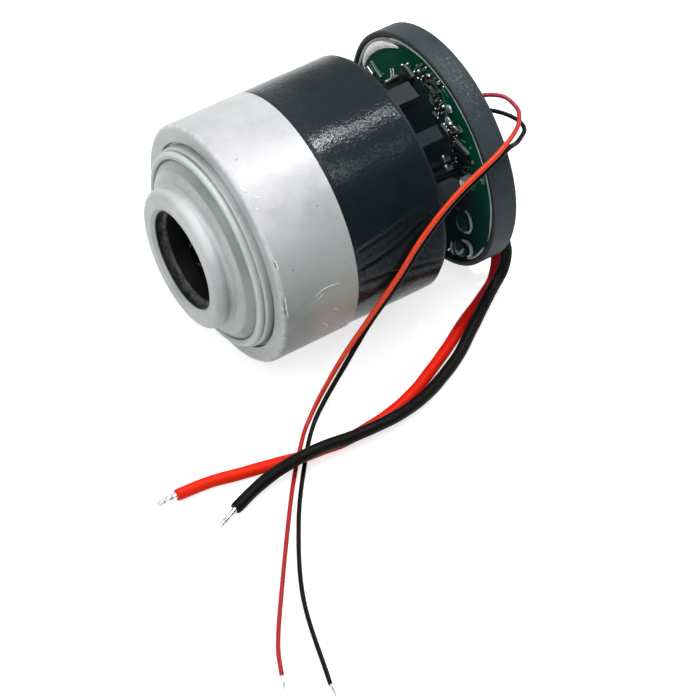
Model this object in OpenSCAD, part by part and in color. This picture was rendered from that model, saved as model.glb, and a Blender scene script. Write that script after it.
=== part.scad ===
// Blower motor of a handheld vacuum cleaner, lying on its side with its leads on the table.
// Sizes are in millimetres. Stations along the shaft are measured from the boot's front edge
// towards the circuit board. +X of the part runs along the shaft, front to rear, and +Z is up.
// Clock angles are seen from the front: 0 degrees is +Y and 90 degrees is straight up.

/* [Intake boot] */
// Outer radius of the boot's wall
boot_r = 29; // [28.5:0.1:30]
// Length of the boot's wall, from its front edge to the sleeve
boot_len = 19.1; // [18:0.1:21]
// Thickness of the boot's wall where it grips the frame
boot_wall = 3; // [2.5:0.1:3.4]
// Radius of the rounded front edge of the wall
boot_edge_r = 1.2; // [0.6:0.1:1.6]
// Thickness of the boot's front skin
boot_skin = 2.4; // [1.8:0.1:2.8]
// How far the nose stands in front of the wall
nose_len = 9.5; // [9:0.1:10.5]
// Outer radius of the nose's lip
nose_r = 16.9; // [16.4:0.1:18]
// Radius of the rounded edge of the nose's lip
nose_edge_r = 1.8; // [1.2:0.1:2.1]
// Radius of the intake hole
intake_r = 11.9; // [11.6:0.1:12.3]
// Chamfer at the mouth of the intake hole
intake_chamfer = 0.9; // [0.4:0.1:1.2]
// Depth from the nose's front to the metal lip inside the hole
lip_depth = 2.6; // [2:0.1:3.2]
// Width of the flat ring between the boot's rim and the bead
face_w = 4.8; // [4.2:0.1:5.4]
// Width of the bead, measured radially
bead_w = 2.3; // [1.6:0.1:2.8]
// Step between the bead's front ridge and its rear ridge
bead_step = 0.6; // [0.3:0.1:0.8]
// Width of the groove outside the bead
groove_w = 0.7; // [0.5:0.1:1]

/* [Sleeve and frame] */
// Length of the black sleeve
sleeve_len = 23.2; // [20:0.1:24]
// How far the sleeve lies below the boot's wall
sleeve_step = 0.1; // [0:0.05:0.3]
// Thickness of the sleeve
sleeve_t = 0.8; // [0.5:0.1:0.9]
// Thickness of the frame's barrel under the sleeve
barrel_t = 1.8; // [1.4:0.1:2.4]
// How far the barrel reaches out of the sleeve
barrel_out = 0.9; // [0.4:0.1:1.4]
// Length of a tab
tab_len = 5.8; // [4:0.1:7]
// Width of a tab
tab_w = 3.2; // [2.4:0.1:4]
// Radial thickness of a tab
tab_t = 3.2; // [2:0.1:4]
// Number of ribs between the barrel and the stator's can
rib_count = 6; // [3:1:8]
// Thickness of a rib
rib_t = 1.6; // [1.2:0.1:2.4]
// Radial height of the air duct between the barrel and the can
duct_h = 5.6; // [5:0.1:6.4]
// Wall of the can that holds the stator
can_t = 1.6; // [1.2:0.1:1.8]
// Thickness of the bulkhead that closes the can's front
bulkhead_t = 2; // [1.5:0.1:3]

/* [Fan] */
// Radius of the shroud's eye
eye_r = 10.4; // [9.8:0.1:10.8]
// How far the eye lies in front of the boot's wall
eye_lead = 3; // [2.6:0.1:3.4]
// Depth of the shroud's bell from the eye to the blade tips
bell_depth = 9.6; // [9:0.1:10.2]
// Distance from the bell's outer end to the boot's inner wall
bell_inset = 3.5; // [3:0.1:4.2]
// Wall of the shroud
shroud_t = 1.2; // [0.8:0.1:1.3]
// Distance from the impeller's rim to the bell's outer end
fan_inset = 1.5; // [1:0.1:2.4]
// Height of a blade at the impeller's rim
rim_h = 1.8; // [1.4:0.1:2.2]
// Thickness of the impeller's disc at its rim
disc_t = 1.2; // [0.8:0.1:1.6]
// Running gap between the blades and the shroud
tip_gap = 0.3; // [0.2:0.05:0.45]
// Running gap behind the impeller's disc
back_gap = 0.8; // [0.5:0.1:1]
// Number of impeller blades
blade_count = 9; // [7:1:11]
// Thickness of a blade
blade_t = 0.8; // [0.6:0.1:1.1]
// Angle through which a blade winds round the shaft
blade_wrap = 62; // [40:1:75]
// Number of diffuser vanes
vane_count = 13; // [9:2:17]
// Thickness of a diffuser vane
vane_t = 0.9; // [0.7:0.1:1.2]
// Thickness of the diffuser's disc
diffuser_t = 1.4; // [1:0.1:1.6]

/* [Shaft and bearings] */
// Radius of the shaft
shaft_r = 2; // [1.9:0.05:2.1]
// Outer radius of a bearing
bearing_r = 4.5; // [4.4:0.05:4.6]
// Width of a bearing
bearing_w = 4; // [3.8:0.1:4.2]
// Radius of a bearing ball
ball_r = 0.7; // [0.6:0.02:0.74]
// Balls in a bearing
ball_count = 8; // [7:1:9]
// Play between a ball and its grooves
ball_play = 0.04; // [0.03:0.01:0.06]
// Radius of the impeller nut
nut_r = 3.4; // [3:0.1:3.8]

/* [Stator and rotor] */
// Length of the stator core
stack_len = 14; // [12:0.5:15]
// Width of a stator tooth
tooth_w = 4; // [3.4:0.1:4.4]
// Radial thickness of the stator's back iron
yoke_t = 3.2; // [2.8:0.1:3.6]
// Thickness of the insulating end frames
insulator_t = 1.4; // [1:0.1:1.6]
// Height of the winding heads over the core
head_h = 5; // [4.4:0.1:5.6]
// Thickness of a coil beside its tooth
coil_t = 2.3; // [1.6:0.1:2.4]
// Radius of the rotor magnet
magnet_r = 6; // [5.6:0.1:6.2]
// Gap between magnet and stator teeth
air_gap = 0.8; // [0.5:0.1:1]
// How far the magnet reaches past each end of the core
magnet_over = 1; // [0.5:0.1:1.4]
// Thickness of a balance ring
balance_t = 2; // [1.2:0.1:2.4]

/* [Circuit board] */
// Distance from the sleeve's rear edge to the front face of the board
board_gap = 13.65; // [13:0.05:15]
// Radius of the board
board_r = 27.9; // [27.6:0.1:28]
// Thickness of the board
board_t = 1.6; // [1:0.1:2]
// Wall of the rubber ring round the board
ring_wall = 1.2; // [0.9:0.1:1.8]
// How far the ring's lip stands in front of the board
ring_lead = 0.5; // [0.3:0.1:0.8]
// Width of the ring
ring_w = 6.4; // [5.8:0.1:7]
// How far the ring's ledge reaches in behind the board
ledge_w = 1.3; // [0.8:0.1:1.6]
// How far the circle of standoffs lies inside the can's wall
standoff_inset = 3.55; // [3.2:0.05:4]
// Radius of a standoff
standoff_r = 2.2; // [1.8:0.1:2.5]
// Radius of a screw's thread
screw_r = 1; // [0.8:0.05:1.1]
// Radius of a screw's head
screw_head_r = 1.9; // [1.7:0.1:2]

/* [Leads] */
// Outer radius of the power leads
power_r = 1.4; // [1.1:0.05:1.4]
// Outer radius of the signal leads
signal_r = 0.6; // [0.45:0.05:0.6]

/* [Hidden] */
$fn = 96;

fit = 0.05;
boot_in_r = boot_r - boot_wall;
bead_r = boot_r - face_w;
sleeve_r = boot_r - sleeve_step;
bell_r = boot_in_r - bell_inset;
fan_r = bell_r - fan_inset;
ring_in_r = board_r + 0.2;
ring_r = ring_in_r + ring_wall;
face_dip = 0.3;
sleeve_end = boot_len + fit + sleeve_len;
board_front = sleeve_end + board_gap;
board_back = board_front + board_t;
ring_front = board_front - ring_lead;
ring_rear = ring_front + ring_w;
mid_s = (ring_rear - nose_len) / 2;
axis_h = max(boot_r, ring_r, sleeve_r);

lip_s = lip_depth - nose_len;
eye_s = -eye_lead;
bell_s = eye_s + bell_depth;
tip_r0 = eye_r - tip_gap;
rim_s = bell_s + rim_h;
fan_back = rim_s + disc_t;
diffuser_s = fan_back + back_gap;
front_bearing_s = diffuser_s + diffuser_t + 0.1;
fan_hub_r = 3.4;
hub_nose_s = eye_s + 0.6;
nut_h = 2.2;
boss_r = bearing_r + 1.7;
barrel_front = diffuser_s - 0.3;
barrel_in_r = boot_in_r - fit - 1.5;
sleeve_in_r = sleeve_r - sleeve_t;
barrel_out_r = sleeve_in_r - fit;
barrel_wide_r = barrel_out_r - barrel_t;
barrel_end = sleeve_end + barrel_out;
bulkhead_s = boot_len - 0.1;
can_out_r = barrel_wide_r - duct_h;
can_in_r = can_out_r - can_t;
stack_r = can_in_r - fit;
standoff_pcr = can_in_r - standoff_inset;
stack_s = bulkhead_s + bulkhead_t + head_h;
stack_end = stack_s + stack_len;
can_end = stack_end + head_h;
bridge_t = 1.5;
rear_bearing_s = can_end + bridge_t;
washer_s = rear_bearing_s + bearing_w + 0.1;
washer_t = 0.5;
pocket_end = washer_s + washer_t + 0.1;
hub_wall = 1.2;
shaft_end = rear_bearing_s + bearing_w + 0.4;
pitch_r = (shaft_r + bearing_r) / 2;
race_gap = 1.3;
magnet_s = stack_s - magnet_over;
magnet_end = stack_end + magnet_over;
bore_r = magnet_r + air_gap;
yoke_in_r = stack_r - yoke_t;
frame_slim = 0.3;
tooth_count = 6;
screw_clear = 0.15;
screw_head_t = 1.2;
lug_r = 2;
lug_pcr = can_out_r + 0.6;
lug_len = 8;
step_gap = 0.2;
// Clock angles of the frame's rear tabs, in two threes with a wider tab first, of the
// bridge's posts and screws, and of the pairs of coil pins.
tab_clocks = [102, 126, 154, 282, 306, 334];
post_clocks = [50, 170, 290];
pin_clocks = [27.5, 147.5, 267.5];

// The leads' routes: station along the shaft, distance to the side, height over the table. They are
// drawn for an axis 29.3 over the table, a board of radius 27.9 and a rear face at station 57.6, and
// keep their proportions to these.
red_power_route_drawn = [[57.6, -16.4, 10.8], [60.4, -16.4, 10.8], [62.8, -16.8, 10.4],
    [64.2, -17.7, 9.2], [64.6, -18.8, 7.2], [64.2, -19.7, 5], [63.1, -20.9, 3.2], [61, -22.5, 1.6],
    [55.1, -25.8, 1.45], [48.1, -29.3, 1.5], [41, -33.5, 1.7], [33.1, -37.5, 1.48],
    [26, -40.7, 1.45], [17, -43.2, 1.52], [6, -44.1, 1.5], [-1, -43.9, 2.4], [-6, -43.6, 2.8],
    [-11.8, -41.3, 1.9], [-19, -39.3, 1.45], [-25.9, -37.6, 1.45], [-33.9, -36.8, 1.45]];
black_power_route_drawn = [[57.6, -16.9, 19.2], [60.2, -16.9, 19.2], [62.3, -17.7, 18.3],
    [63.9, -19.3, 16.3], [64.7, -20.9, 13.3], [64.8, -22.2, 10.5], [64.2, -23, 7.9],
    [63.2, -23.5, 5.5], [61.6, -24.1, 4.1], [59.3, -25.5, 3.9], [54.9, -28.3, 3.5],
    [48.2, -32.6, 2.4], [41.3, -37.1, 1.66], [33.9, -40.7, 1.46], [27, -43.5, 1.9],
    [18, -45.6, 3.1], [7, -45.9, 4.1], [-0.1, -45.4, 4.9], [-6, -45.4, 5.3], [-12, -44.7, 3.7],
    [-18, -44.8, 1.7], [-25, -47.1, 1.45]];
red_signal_route_drawn = [[57.6, -10.1, 50], [60.8, -10.1, 50], [64.4, -11.7, 51.1],
    [67.6, -14.6, 51.2], [68.7, -18, 50], [67.8, -20.3, 49.4], [65.9, -22.3, 49],
    [63.2, -24, 48.8], [60, -25.5, 48.6], [56, -26.8, 47.8], [50.6, -27.6, 46],
    [45.2, -28.3, 43.7], [40.1, -28.9, 40.4], [34.3, -29.5, 35.2], [28.8, -30, 28.5],
    [22.3, -29.9, 20.5], [14.7, -30.1, 11.8], [8, -31.4, 4.7], [3, -33.7, 1.08],
    [-2.2, -38.3, 0.65], [-12.2, -49.8, 0.65], [-28.1, -70.8, 0.65], [-36.3, -82.3, 0.65],
    [-39.9, -89.4, 0.65]];
black_signal_route_drawn = [[57.6, -9.8, 46.2], [61, -9.8, 46.2], [65, -11.3, 46],
    [68.4, -14, 45.2], [70.2, -17.2, 44.5], [69.7, -20, 44.4], [67.4, -21.9, 44.7],
    [64.8, -23.5, 45.4], [61.4, -25.2, 47], [56.8, -26.7, 46.5], [51, -27.5, 44.5],
    [45.6, -28.2, 42.3], [40.8, -28.9, 39.3], [35.2, -29.5, 34.1], [28.7, -30, 26.2],
    [21.6, -29.8, 17.6], [14.1, -30.9, 8.9], [7.2, -32.9, 2.8], [1.7, -36.6, 0.88],
    [-5.2, -44.2, 0.65], [-15.1, -57.2, 0.65], [-25.5, -75.3, 0.65], [-32.7, -96.9, 0.65]];
function at_scale(p, k, up, low) = [p[0] * board_back / 57.6, p[1] * k, max(low, axis_h * (1 - up) + (p[2] - 29.3 * (1 - up)) * k)];
function fitted(route, low) = [for (i = [0:len(route) - 1])
    i < 3 ? at_scale(route[i], board_r / 27.9, 0, low) : at_scale(route[i], axis_h / 29.3, 1, low)];
red_power_route = fitted(red_power_route_drawn, power_r + 0.05);
black_power_route = fitted(black_power_route_drawn, power_r + 0.05);
red_signal_route = fitted(red_signal_route_drawn, signal_r + 0.05);
black_signal_route = fitted(black_signal_route_drawn, signal_r + 0.05);
function fitted_end(p) = at_scale(p, axis_h / 29.3, 1, 0.5);
red_power_end = fitted_end([-38.6, -36.3, 1]);
black_power_end = fitted_end([-30.3, -49.2, 1]);
red_signal_end = fitted_end([-41.7, -94.1, 0.5]);
black_signal_end = fitted_end([-33.5, -101.6, 0.5]);

// Puts a shape built along local Z, with local X as clock angle 0, into the part's own frame.
module in_part() {
    translate([-mid_s, 0, axis_h]) rotate([90, 0, 90]) children();
}

// Turns a shape to a clock angle round the shaft.
module at_clock(a) {
    rotate([0, 0, a]) children();
}

// A tube along the shaft from station s0 to s1.
module tube(s0, s1, r_out, r_in) {
    translate([0, 0, s0]) difference() {
        cylinder(h = s1 - s0, r = r_out);
        translate([0, 0, -1]) cylinder(h = s1 - s0 + 2, r = r_in);
    }
}

// Points of an arc about [cr, cs], from angle a0 to a1, each as [radius, station].
function arc(cr, cs, r, a0, a1, n = 6) = [for (i = [0:n]) let (a = a0 + (a1 - a0) * i / n) [cr + r * cos(a), cs + r * sin(a)]];

// Points of a quarter ellipse from the eye to the rim of the fan's flow passage.
function bell(r0, r1, s0, s1, n = 12) = [for (i = [0:n]) let (a = 90 * i / n) [r1 - (r1 - r0) * cos(a), s0 + (s1 - s0) * sin(a)]];

// The boot: a thick wall with a rounded front edge, a grooved face, a double bead and a flared nose.
module boot_profile() {
    neck_r = nose_r - 0.4;
    bead_in_r = bead_r - bead_w;
    bead_s = -3.3;
    cone_s = -2.6;
    lip_back_s = -nose_len + 3;
    flare_s = lip_back_s + 1;
    groove_out_r = bead_r + groove_w;
    skin_s = face_dip + boot_skin;
    polygon(concat(
        [[intake_r, lip_s], [intake_r, -nose_len + intake_chamfer], [intake_r + intake_chamfer, -nose_len]],
        arc(nose_r - nose_edge_r, -nose_len + nose_edge_r, nose_edge_r, -90, 0),
        [[nose_r - 0.1, lip_back_s - 0.6], [neck_r, lip_back_s], [neck_r, flare_s - 0.8],
            [neck_r + 0.15, flare_s - 0.35], [neck_r + 0.5, flare_s - 0.05]],
        [for (i = [1:6]) let (t = i / 6) [neck_r + (bead_in_r - neck_r) * pow(t, 0.8), flare_s + (cone_s - flare_s) * pow(t, 1.7)]],
        [[bead_in_r + 0.05, bead_s + 0.3]],
        arc(bead_in_r + 0.5, bead_s + 0.4, 0.4, 200, 270, 3),
        arc(bead_r - bead_step - 0.7, bead_s + 0.7, 0.7, -80, 0, 4),
        [[bead_r - bead_step, bead_s + 1.2], [bead_r - bead_step - 0.2, bead_s + 1.4]],
        arc(bead_r - 0.4, bead_s + 1.9, 0.4, -90, 0, 3),
        [[bead_r, face_dip + 0.4], [groove_out_r, face_dip + 0.4], [groove_out_r + 0.1, -face_dip]],
        arc(boot_r - boot_edge_r, boot_edge_r - face_dip, boot_edge_r, -90, 0),
        [[boot_r, boot_len], [boot_in_r, boot_len], [boot_in_r, skin_s], [bead_in_r, skin_s - 0.6]],
        [[neck_r + 1.2, flare_s + boot_skin + 1], [intake_r + 0.8, flare_s + boot_skin - 0.4]],
        [[intake_r + 0.8, lip_s]]));
}

module intake_boot() {
    color("#c4c8c8") in_part() rotate_extrude() boot_profile();
}

// The shroud: an inlet pipe behind the boot's hole, a bell over the blades and a skirt.
module fan_shroud() {
    pipe_r = intake_r + 0.75;
    pipe_in_r = eye_r + 0.6;
    skirt_r = boot_in_r - fit;
    color("#8d9294") in_part() rotate_extrude() polygon(concat(
        [[pipe_in_r, lip_s], [pipe_r, lip_s], [pipe_r, eye_s - 0.6]],
        bell(eye_r + shroud_t, bell_r, eye_s, bell_s - shroud_t),
        [[skirt_r, bell_s - shroud_t], [skirt_r, barrel_front - fit], [skirt_r - 1.5, barrel_front - fit], [skirt_r - 1.5, bell_s]],
        [for (i = [12:-1:0]) bell(eye_r, bell_r, eye_s, bell_s)[i]],
        [[eye_r + 0.1, eye_s - 0.8]]));
}

// A blade is ruled between its root on the hub and its tip under the shroud.
function blade_root(t) = [fan_r - (fan_r - fan_hub_r) * cos(90 * t) - 0.15, hub_nose_s + (rim_s - hub_nose_s) * sin(90 * t) + 0.4];
function blade_tip(t) = [bell_r - (bell_r - tip_r0) * cos(acos((bell_r - fan_r) / (bell_r - tip_r0)) * t),
    eye_s + 0.3 + (bell_s + tip_gap - eye_s - 0.3) * sin(acos((bell_r - fan_r) / (bell_r - tip_r0)) * t)];
function blade_turn(t) = blade_wrap * (1 - pow(1 - t, 1.6));
function blade_corner(rs, a, half) = [rs[0] * cos(a) - half * sin(a), rs[0] * sin(a) + half * cos(a), rs[1]];

module blade() {
    steps = 10;
    rings = [for (i = [0:steps]) let (t = i / steps, a = blade_turn(t), h = blade_t / 2)
        [blade_corner(blade_root(t), a, -h), blade_corner(blade_root(t), a, h),
         blade_corner(blade_tip(t), a, h * 0.8), blade_corner(blade_tip(t), a, -h * 0.8)]];
    tube_mesh(rings);
}

// Joins rings of points into one closed solid.
module tube_mesh(rings) {
    n = len(rings[0]);
    m = len(rings);
    points = [for (ring = rings) for (p = ring) p];
    sides = [for (i = [0:m - 2]) for (j = [0:n - 1]) let (a = i * n + j, b = i * n + (j + 1) % n) each
        [[a, b, a + n], [b, b + n, a + n]]];
    caps = [[for (j = [n - 1:-1:0]) j], [for (j = [0:n - 1]) (m - 1) * n + j]];
    polyhedron(points = points, faces = concat(sides, caps), convexity = 8);
}

module impeller() {
    color("#b9bcbe") in_part() difference() {
        union() {
            rotate_extrude() polygon(concat(
                [[0, hub_nose_s], [fan_hub_r, hub_nose_s]],
                bell(fan_hub_r, fan_r, hub_nose_s, rim_s),
                [[fan_r, fan_back], [fan_r - 6, fan_back - 0.3], [9, fan_back - 1.6], [6, fan_back]],
                [[0, fan_back]]));
            for (i = [0:blade_count - 1]) at_clock(i * 360 / blade_count) blade();
        }
        translate([0, 0, hub_nose_s - 1]) cylinder(h = fan_back - hub_nose_s + 2, r = shaft_r);
    }
}

// The nut that clamps the impeller, with a domed front and two flats for a key.
module impeller_nut() {
    color("#6f7476") in_part() difference() {
        rotate_extrude() polygon(concat(
            [[shaft_r, hub_nose_s - nut_h - 0.8]],
            arc(nut_r - 1, hub_nose_s - nut_h + 0.2, 1, -90, 0),
            [[nut_r, hub_nose_s], [shaft_r, hub_nose_s]]));
        for (side = [-1, 1]) translate([side * (nut_r + 0.6), 0, hub_nose_s - nut_h]) cube([2, 8, nut_h + 1], center = true);
    }
}

module shaft() {
    front = hub_nose_s - nut_h - 1.4;
    color("#c9ccce") in_part() rotate_extrude() polygon([
        [0, front], [shaft_r - 0.4, front], [shaft_r, front + 0.4],
        [shaft_r, shaft_end - 0.4], [shaft_r - 0.4, shaft_end], [0, shaft_end]]);
}

module rotor_spacer() {
    color("#a8abad") in_part() tube(fan_back, front_bearing_s, shaft_r + 0.9, shaft_r);
}

module rotor_magnet() {
    color("#4a4d50") in_part() tube(magnet_s, magnet_end, magnet_r, shaft_r);
}

// A balance ring has drilled pits round its outer face.
module balance_ring(s0, face) {
    pit_r = 0.7;
    difference() {
        tube(s0, s0 + balance_t, magnet_r - 0.2, shaft_r);
        for (a = [20, 50, 110]) at_clock(a) translate([magnet_r - 1.8, 0, face]) cylinder(h = 1, r = pit_r, center = true);
    }
}

module balance_ring_front() {
    color("#b08d4a") in_part() balance_ring(magnet_s - balance_t, magnet_s - balance_t);
}

module balance_ring_rear() {
    color("#b08d4a") in_part() balance_ring(magnet_end, magnet_end + balance_t);
}

// Bearing parts, each built with its front face at station s0.
module ball_groove(s0) {
    translate([0, 0, s0 + bearing_w / 2]) rotate_extrude() translate([pitch_r, 0]) circle(r = ball_r + ball_play, $fn = 32);
}

module bearing_outer(s0) {
    difference() {
        tube(s0, s0 + bearing_w, bearing_r, pitch_r + race_gap / 2 - 0.15);
        ball_groove(s0);
    }
}

module bearing_inner(s0) {
    difference() {
        tube(s0, s0 + bearing_w, pitch_r - race_gap / 2 + 0.15, shaft_r);
        ball_groove(s0);
    }
}

module bearing_balls(s0) {
    for (i = [0:ball_count - 1]) at_clock(i * 360 / ball_count) translate([pitch_r, 0, s0 + bearing_w / 2]) sphere(r = ball_r, $fn = 24);
}

module bearing_cage(s0) {
    cage_t = 0.5;
    difference() {
        tube(s0 + bearing_w / 2 - 0.1, s0 + bearing_w - 0.6, pitch_r + cage_t / 2 - 0.05, pitch_r - cage_t / 2 + 0.05);
        for (i = [0:ball_count - 1]) at_clock(i * 360 / ball_count) translate([pitch_r, 0, s0 + bearing_w / 2]) sphere(r = ball_r + ball_play, $fn = 24);
    }
}

module front_bearing_outer() { color("#b4b8ba") in_part() bearing_outer(front_bearing_s); }
module front_bearing_inner() { color("#c0c4c6") in_part() bearing_inner(front_bearing_s); }
module front_bearing_balls() { color("#d6d9da") in_part() bearing_balls(front_bearing_s); }
module front_bearing_cage() { color("#8a6a3a") in_part() bearing_cage(front_bearing_s); }
module rear_bearing_outer() { color("#b4b8ba") in_part() bearing_outer(rear_bearing_s); }
module rear_bearing_inner() { color("#c0c4c6") in_part() bearing_inner(rear_bearing_s); }
module rear_bearing_balls() { color("#d6d9da") in_part() bearing_balls(rear_bearing_s); }
module rear_bearing_cage() { color("#8a6a3a") in_part() bearing_cage(rear_bearing_s); }

module preload_washer() {
    color("#9da1a3") in_part() tube(washer_s, washer_s + washer_t, bearing_r - 0.1, bearing_r - 1);
}

// A diffuser vane turns the swirling air straight along the shaft.
module vane(s0, s1) {
    bend_r = 2.2 * (s1 - s0);
    bend = asin((s1 - s0) / bend_r);
    n = 5;
    pressure = [for (i = [0:n]) let (a = bend * i / n) [bend_r * (1 - cos(a)), s1 - bend_r * sin(a)]];
    suction = [for (p = pressure) [p[0] + vane_t, p[1]]];
    intersection() {
        rotate([90, 0, 90]) translate([-vane_t / 2, 0, can_out_r - 0.4]) linear_extrude(height = 6) polygon(concat(pressure, [for (i = [n:-1:0]) suction[i]]));
        tube(s0 - 1, s1 + 1, barrel_in_r - fit, can_out_r - 0.3);
    }
}

module diffuser() {
    wall_end = bulkhead_s - 0.1;
    color("#3a3d40") in_part() difference() {
        union() {
            tube(diffuser_s, diffuser_s + diffuser_t, can_out_r, boss_r + fit);
            tube(diffuser_s, wall_end, can_out_r, can_out_r - 1.2);
            for (i = [0:vane_count - 1]) at_clock(i * 360 / vane_count) vane(diffuser_s, wall_end);
        }
    }
}

// Inner edge of a bearing's seat: open at station s0, with a shoulder from s1 to s2.
function bearing_seat(s0, s1, s2) = [[bearing_r + 0.01, s0], [bearing_r + 0.01, s1], [bearing_r - 1, s1], [bearing_r - 1, s2]];

// The frame: barrel, stator can, ribs, bulkhead, bearing boss, screw lugs and rear tabs.
module frame_turned() {
    step_s = bulkhead_s + 1;
    bulkhead_end = bulkhead_s + bulkhead_t;
    rotate_extrude() polygon([
        [barrel_in_r, barrel_front], [boot_in_r - fit, barrel_front], [boot_in_r - fit, boot_len + fit],
        [barrel_out_r, boot_len + fit], [barrel_out_r, barrel_end], [barrel_wide_r, barrel_end],
        [barrel_wide_r, step_s + 2], [barrel_in_r, step_s]]);
    rotate_extrude() polygon(concat(bearing_seat(front_bearing_s, front_bearing_s + bearing_w, bulkhead_end), [
        [can_in_r, bulkhead_end], [can_in_r, can_end], [can_out_r, can_end],
        [can_out_r, bulkhead_s], [boss_r, bulkhead_s], [boss_r, front_bearing_s]]));
}

module motor_frame() {
    color("#26292c") in_part() difference() {
        union() {
            frame_turned();
            for (i = [0:rib_count - 1]) at_clock(i * 360 / rib_count)
                translate([can_out_r - 0.3, -rib_t / 2, bulkhead_s + 3.6]) cube([barrel_wide_r - can_out_r + 0.7, rib_t, can_end - bulkhead_s - 7]);
            for (a = post_clocks) at_clock(a) translate([lug_pcr, 0, can_end - lug_len]) cylinder(h = lug_len - step_gap, r = lug_r);
            for (i = [0:5]) let(w = tab_w * (i % 3 == 0 ? 1.45 : 1)) at_clock(tab_clocks[i])
                translate([barrel_out_r - 0.5 - tab_t, -w / 2, barrel_end - 0.6]) cube([tab_t, w, tab_len + 0.6]);
        }
        for (a = post_clocks) at_clock(a) translate([lug_pcr, 0, can_end - 5]) cylinder(h = 6, r = screw_r, $fn = 24);
    }
}

// The sleeve: a thin black wrap, drawn in a little beside the boot.
module body_sleeve() {
    s0 = boot_len + fit;
    tuck = 0.1;
    color("#1d2126") in_part() rotate_extrude() polygon([
        [sleeve_in_r, s0], [sleeve_r - tuck, s0], [sleeve_r, s0 + 1.5], [sleeve_r, sleeve_end - 0.3],
        [sleeve_r - 0.3, sleeve_end], [sleeve_in_r, sleeve_end]]);
}

module stator_outline() {
    foot_r = bore_r + 1.4;
    difference() {
        union() {
            difference() {
                circle(r = stack_r);
                circle(r = yoke_in_r);
            }
            for (i = [0:tooth_count - 1]) rotate(30 + i * 360 / tooth_count)
                translate([bore_r, -tooth_w / 2]) square([yoke_in_r - bore_r + 0.5, tooth_w]);
            intersection() {
                difference() {
                    circle(r = foot_r);
                    circle(r = bore_r);
                }
                for (i = [0:tooth_count - 1]) rotate(30 + i * 360 / tooth_count)
                    translate([0, -tooth_w / 2 - 0.9]) square([foot_r + 1, tooth_w + 1.8]);
            }
        }
        circle(r = bore_r);
    }
}

module stator_core() {
    color("#7a7f84") in_part() translate([0, 0, stack_s]) linear_extrude(height = stack_len) stator_outline();
}

// An end frame covers the core's yoke and teeth and has an upright wall behind the coils.
module insulator(s0, wall_s) {
    translate([0, 0, s0]) linear_extrude(height = insulator_t) difference() {
        union() {
            difference() {
                circle(r = stack_r - frame_slim);
                circle(r = yoke_in_r - frame_slim);
            }
            for (i = [0:tooth_count - 1]) rotate(30 + i * 360 / tooth_count)
                translate([bore_r + 0.4, -tooth_w / 2]) square([yoke_in_r - bore_r, tooth_w]);
        }
        circle(r = bore_r + 0.4);
    }
    translate([0, 0, wall_s]) difference() {
        cylinder(h = head_h - insulator_t - 0.4, r = yoke_in_r + 1.2);
        translate([0, 0, -1]) cylinder(h = head_h + 2, r = yoke_in_r);
    }
}

module front_insulator() {
    color("#e3dcc6") in_part() insulator(stack_s - insulator_t, stack_s - head_h + 0.4);
}

module rear_insulator() {
    color("#e3dcc6") in_part() insulator(stack_end, stack_end + insulator_t);
}

// Six coils, each wound round its own tooth between the foot and the yoke.
module stator_windings() {
    slack = 0.1;
    coil_in = bore_r + 2.6;
    half_in = tooth_w / 2 + slack;
    half_out = half_in + coil_t;
    coil_out = sqrt(pow(yoke_in_r - frame_slim - slack, 2) - half_out * half_out);
    low = stack_s - insulator_t - slack;
    high = stack_end + insulator_t + slack;
    head = 2.2;
    color("#b4622d") in_part() for (i = [0:tooth_count - 1]) at_clock(30 + i * 360 / tooth_count) difference() {
        translate([coil_in, -half_out, low - head]) cube([coil_out - coil_in, 2 * half_out, high - low + 2 * head]);
        translate([coil_in - 1, -half_in, low]) cube([coil_out - coil_in + 2, 2 * half_in, high - low]);
        for (side = [-1, 1]) for (end = [low - head, high + head])
            translate([coil_in - 1, side * half_out, end]) rotate([0, 90, 0]) rotate(45) cube([1.6, 1.6, 2 * (coil_out - coil_in)], center = true);
    }
}

// Puts a copy at each of the three pairs of pins.
module phase_pin_places() {
    pin_r = stack_r - 1.1;
    half_pair = 3.4;
    for (a = pin_clocks) for (side = [-1, 1]) at_clock(a + side * half_pair) translate([pin_r, 0, 0]) children();
}

// Three pairs of tinned pins carry the coil ends from the rear end frame through the board.
module phase_pins() {
    pin_w = 0.9;
    pin_s = stack_end + insulator_t;
    color("#c9cbcb") in_part() phase_pin_places() translate([-pin_w / 2, -pin_w / 2, pin_s]) cube([pin_w, pin_w, board_back + 0.5 - pin_s]);
}

// The bridge closes the can's rear, holds the rear bearing and stands the board off.
module bearing_bridge() {
    rim_in_r = can_in_r - 2.8;
    arm_w = 5;
    notch_w = 7;
    color("#2b2e31") in_part() difference() {
        union() {
            tube(can_end, can_end + bridge_t, can_out_r, rim_in_r);
            rotate_extrude() polygon(concat(bearing_seat(can_end, pocket_end, pocket_end + hub_wall), [[boss_r, pocket_end + hub_wall], [boss_r, can_end]]));
            for (a = post_clocks) at_clock(a) {
                translate([boss_r - 0.7, -arm_w / 2, can_end + step_gap]) cube([rim_in_r + 1.7 - boss_r, arm_w, bridge_t - 2 * step_gap]);
                translate([lug_pcr, 0, can_end + step_gap]) cylinder(h = bridge_t, r = lug_r);
                translate([standoff_pcr, 0, can_end + 0.5]) cylinder(h = board_front - can_end - 0.5, r = standoff_r);
            }
        }
        for (a = pin_clocks) at_clock(a) translate([rim_in_r - 1, -notch_w / 2, can_end - 1]) cube([can_in_r - rim_in_r + 0.4, notch_w, bridge_t + 2]);
        for (a = post_clocks) at_clock(a) {
            translate([lug_pcr, 0, can_end - 1]) cylinder(h = bridge_t + 3, r = screw_r + screw_clear, $fn = 24);
            translate([standoff_pcr, 0, board_front - 5]) cylinder(h = 6, r = screw_r, $fn = 24);
        }
    }
}

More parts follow.
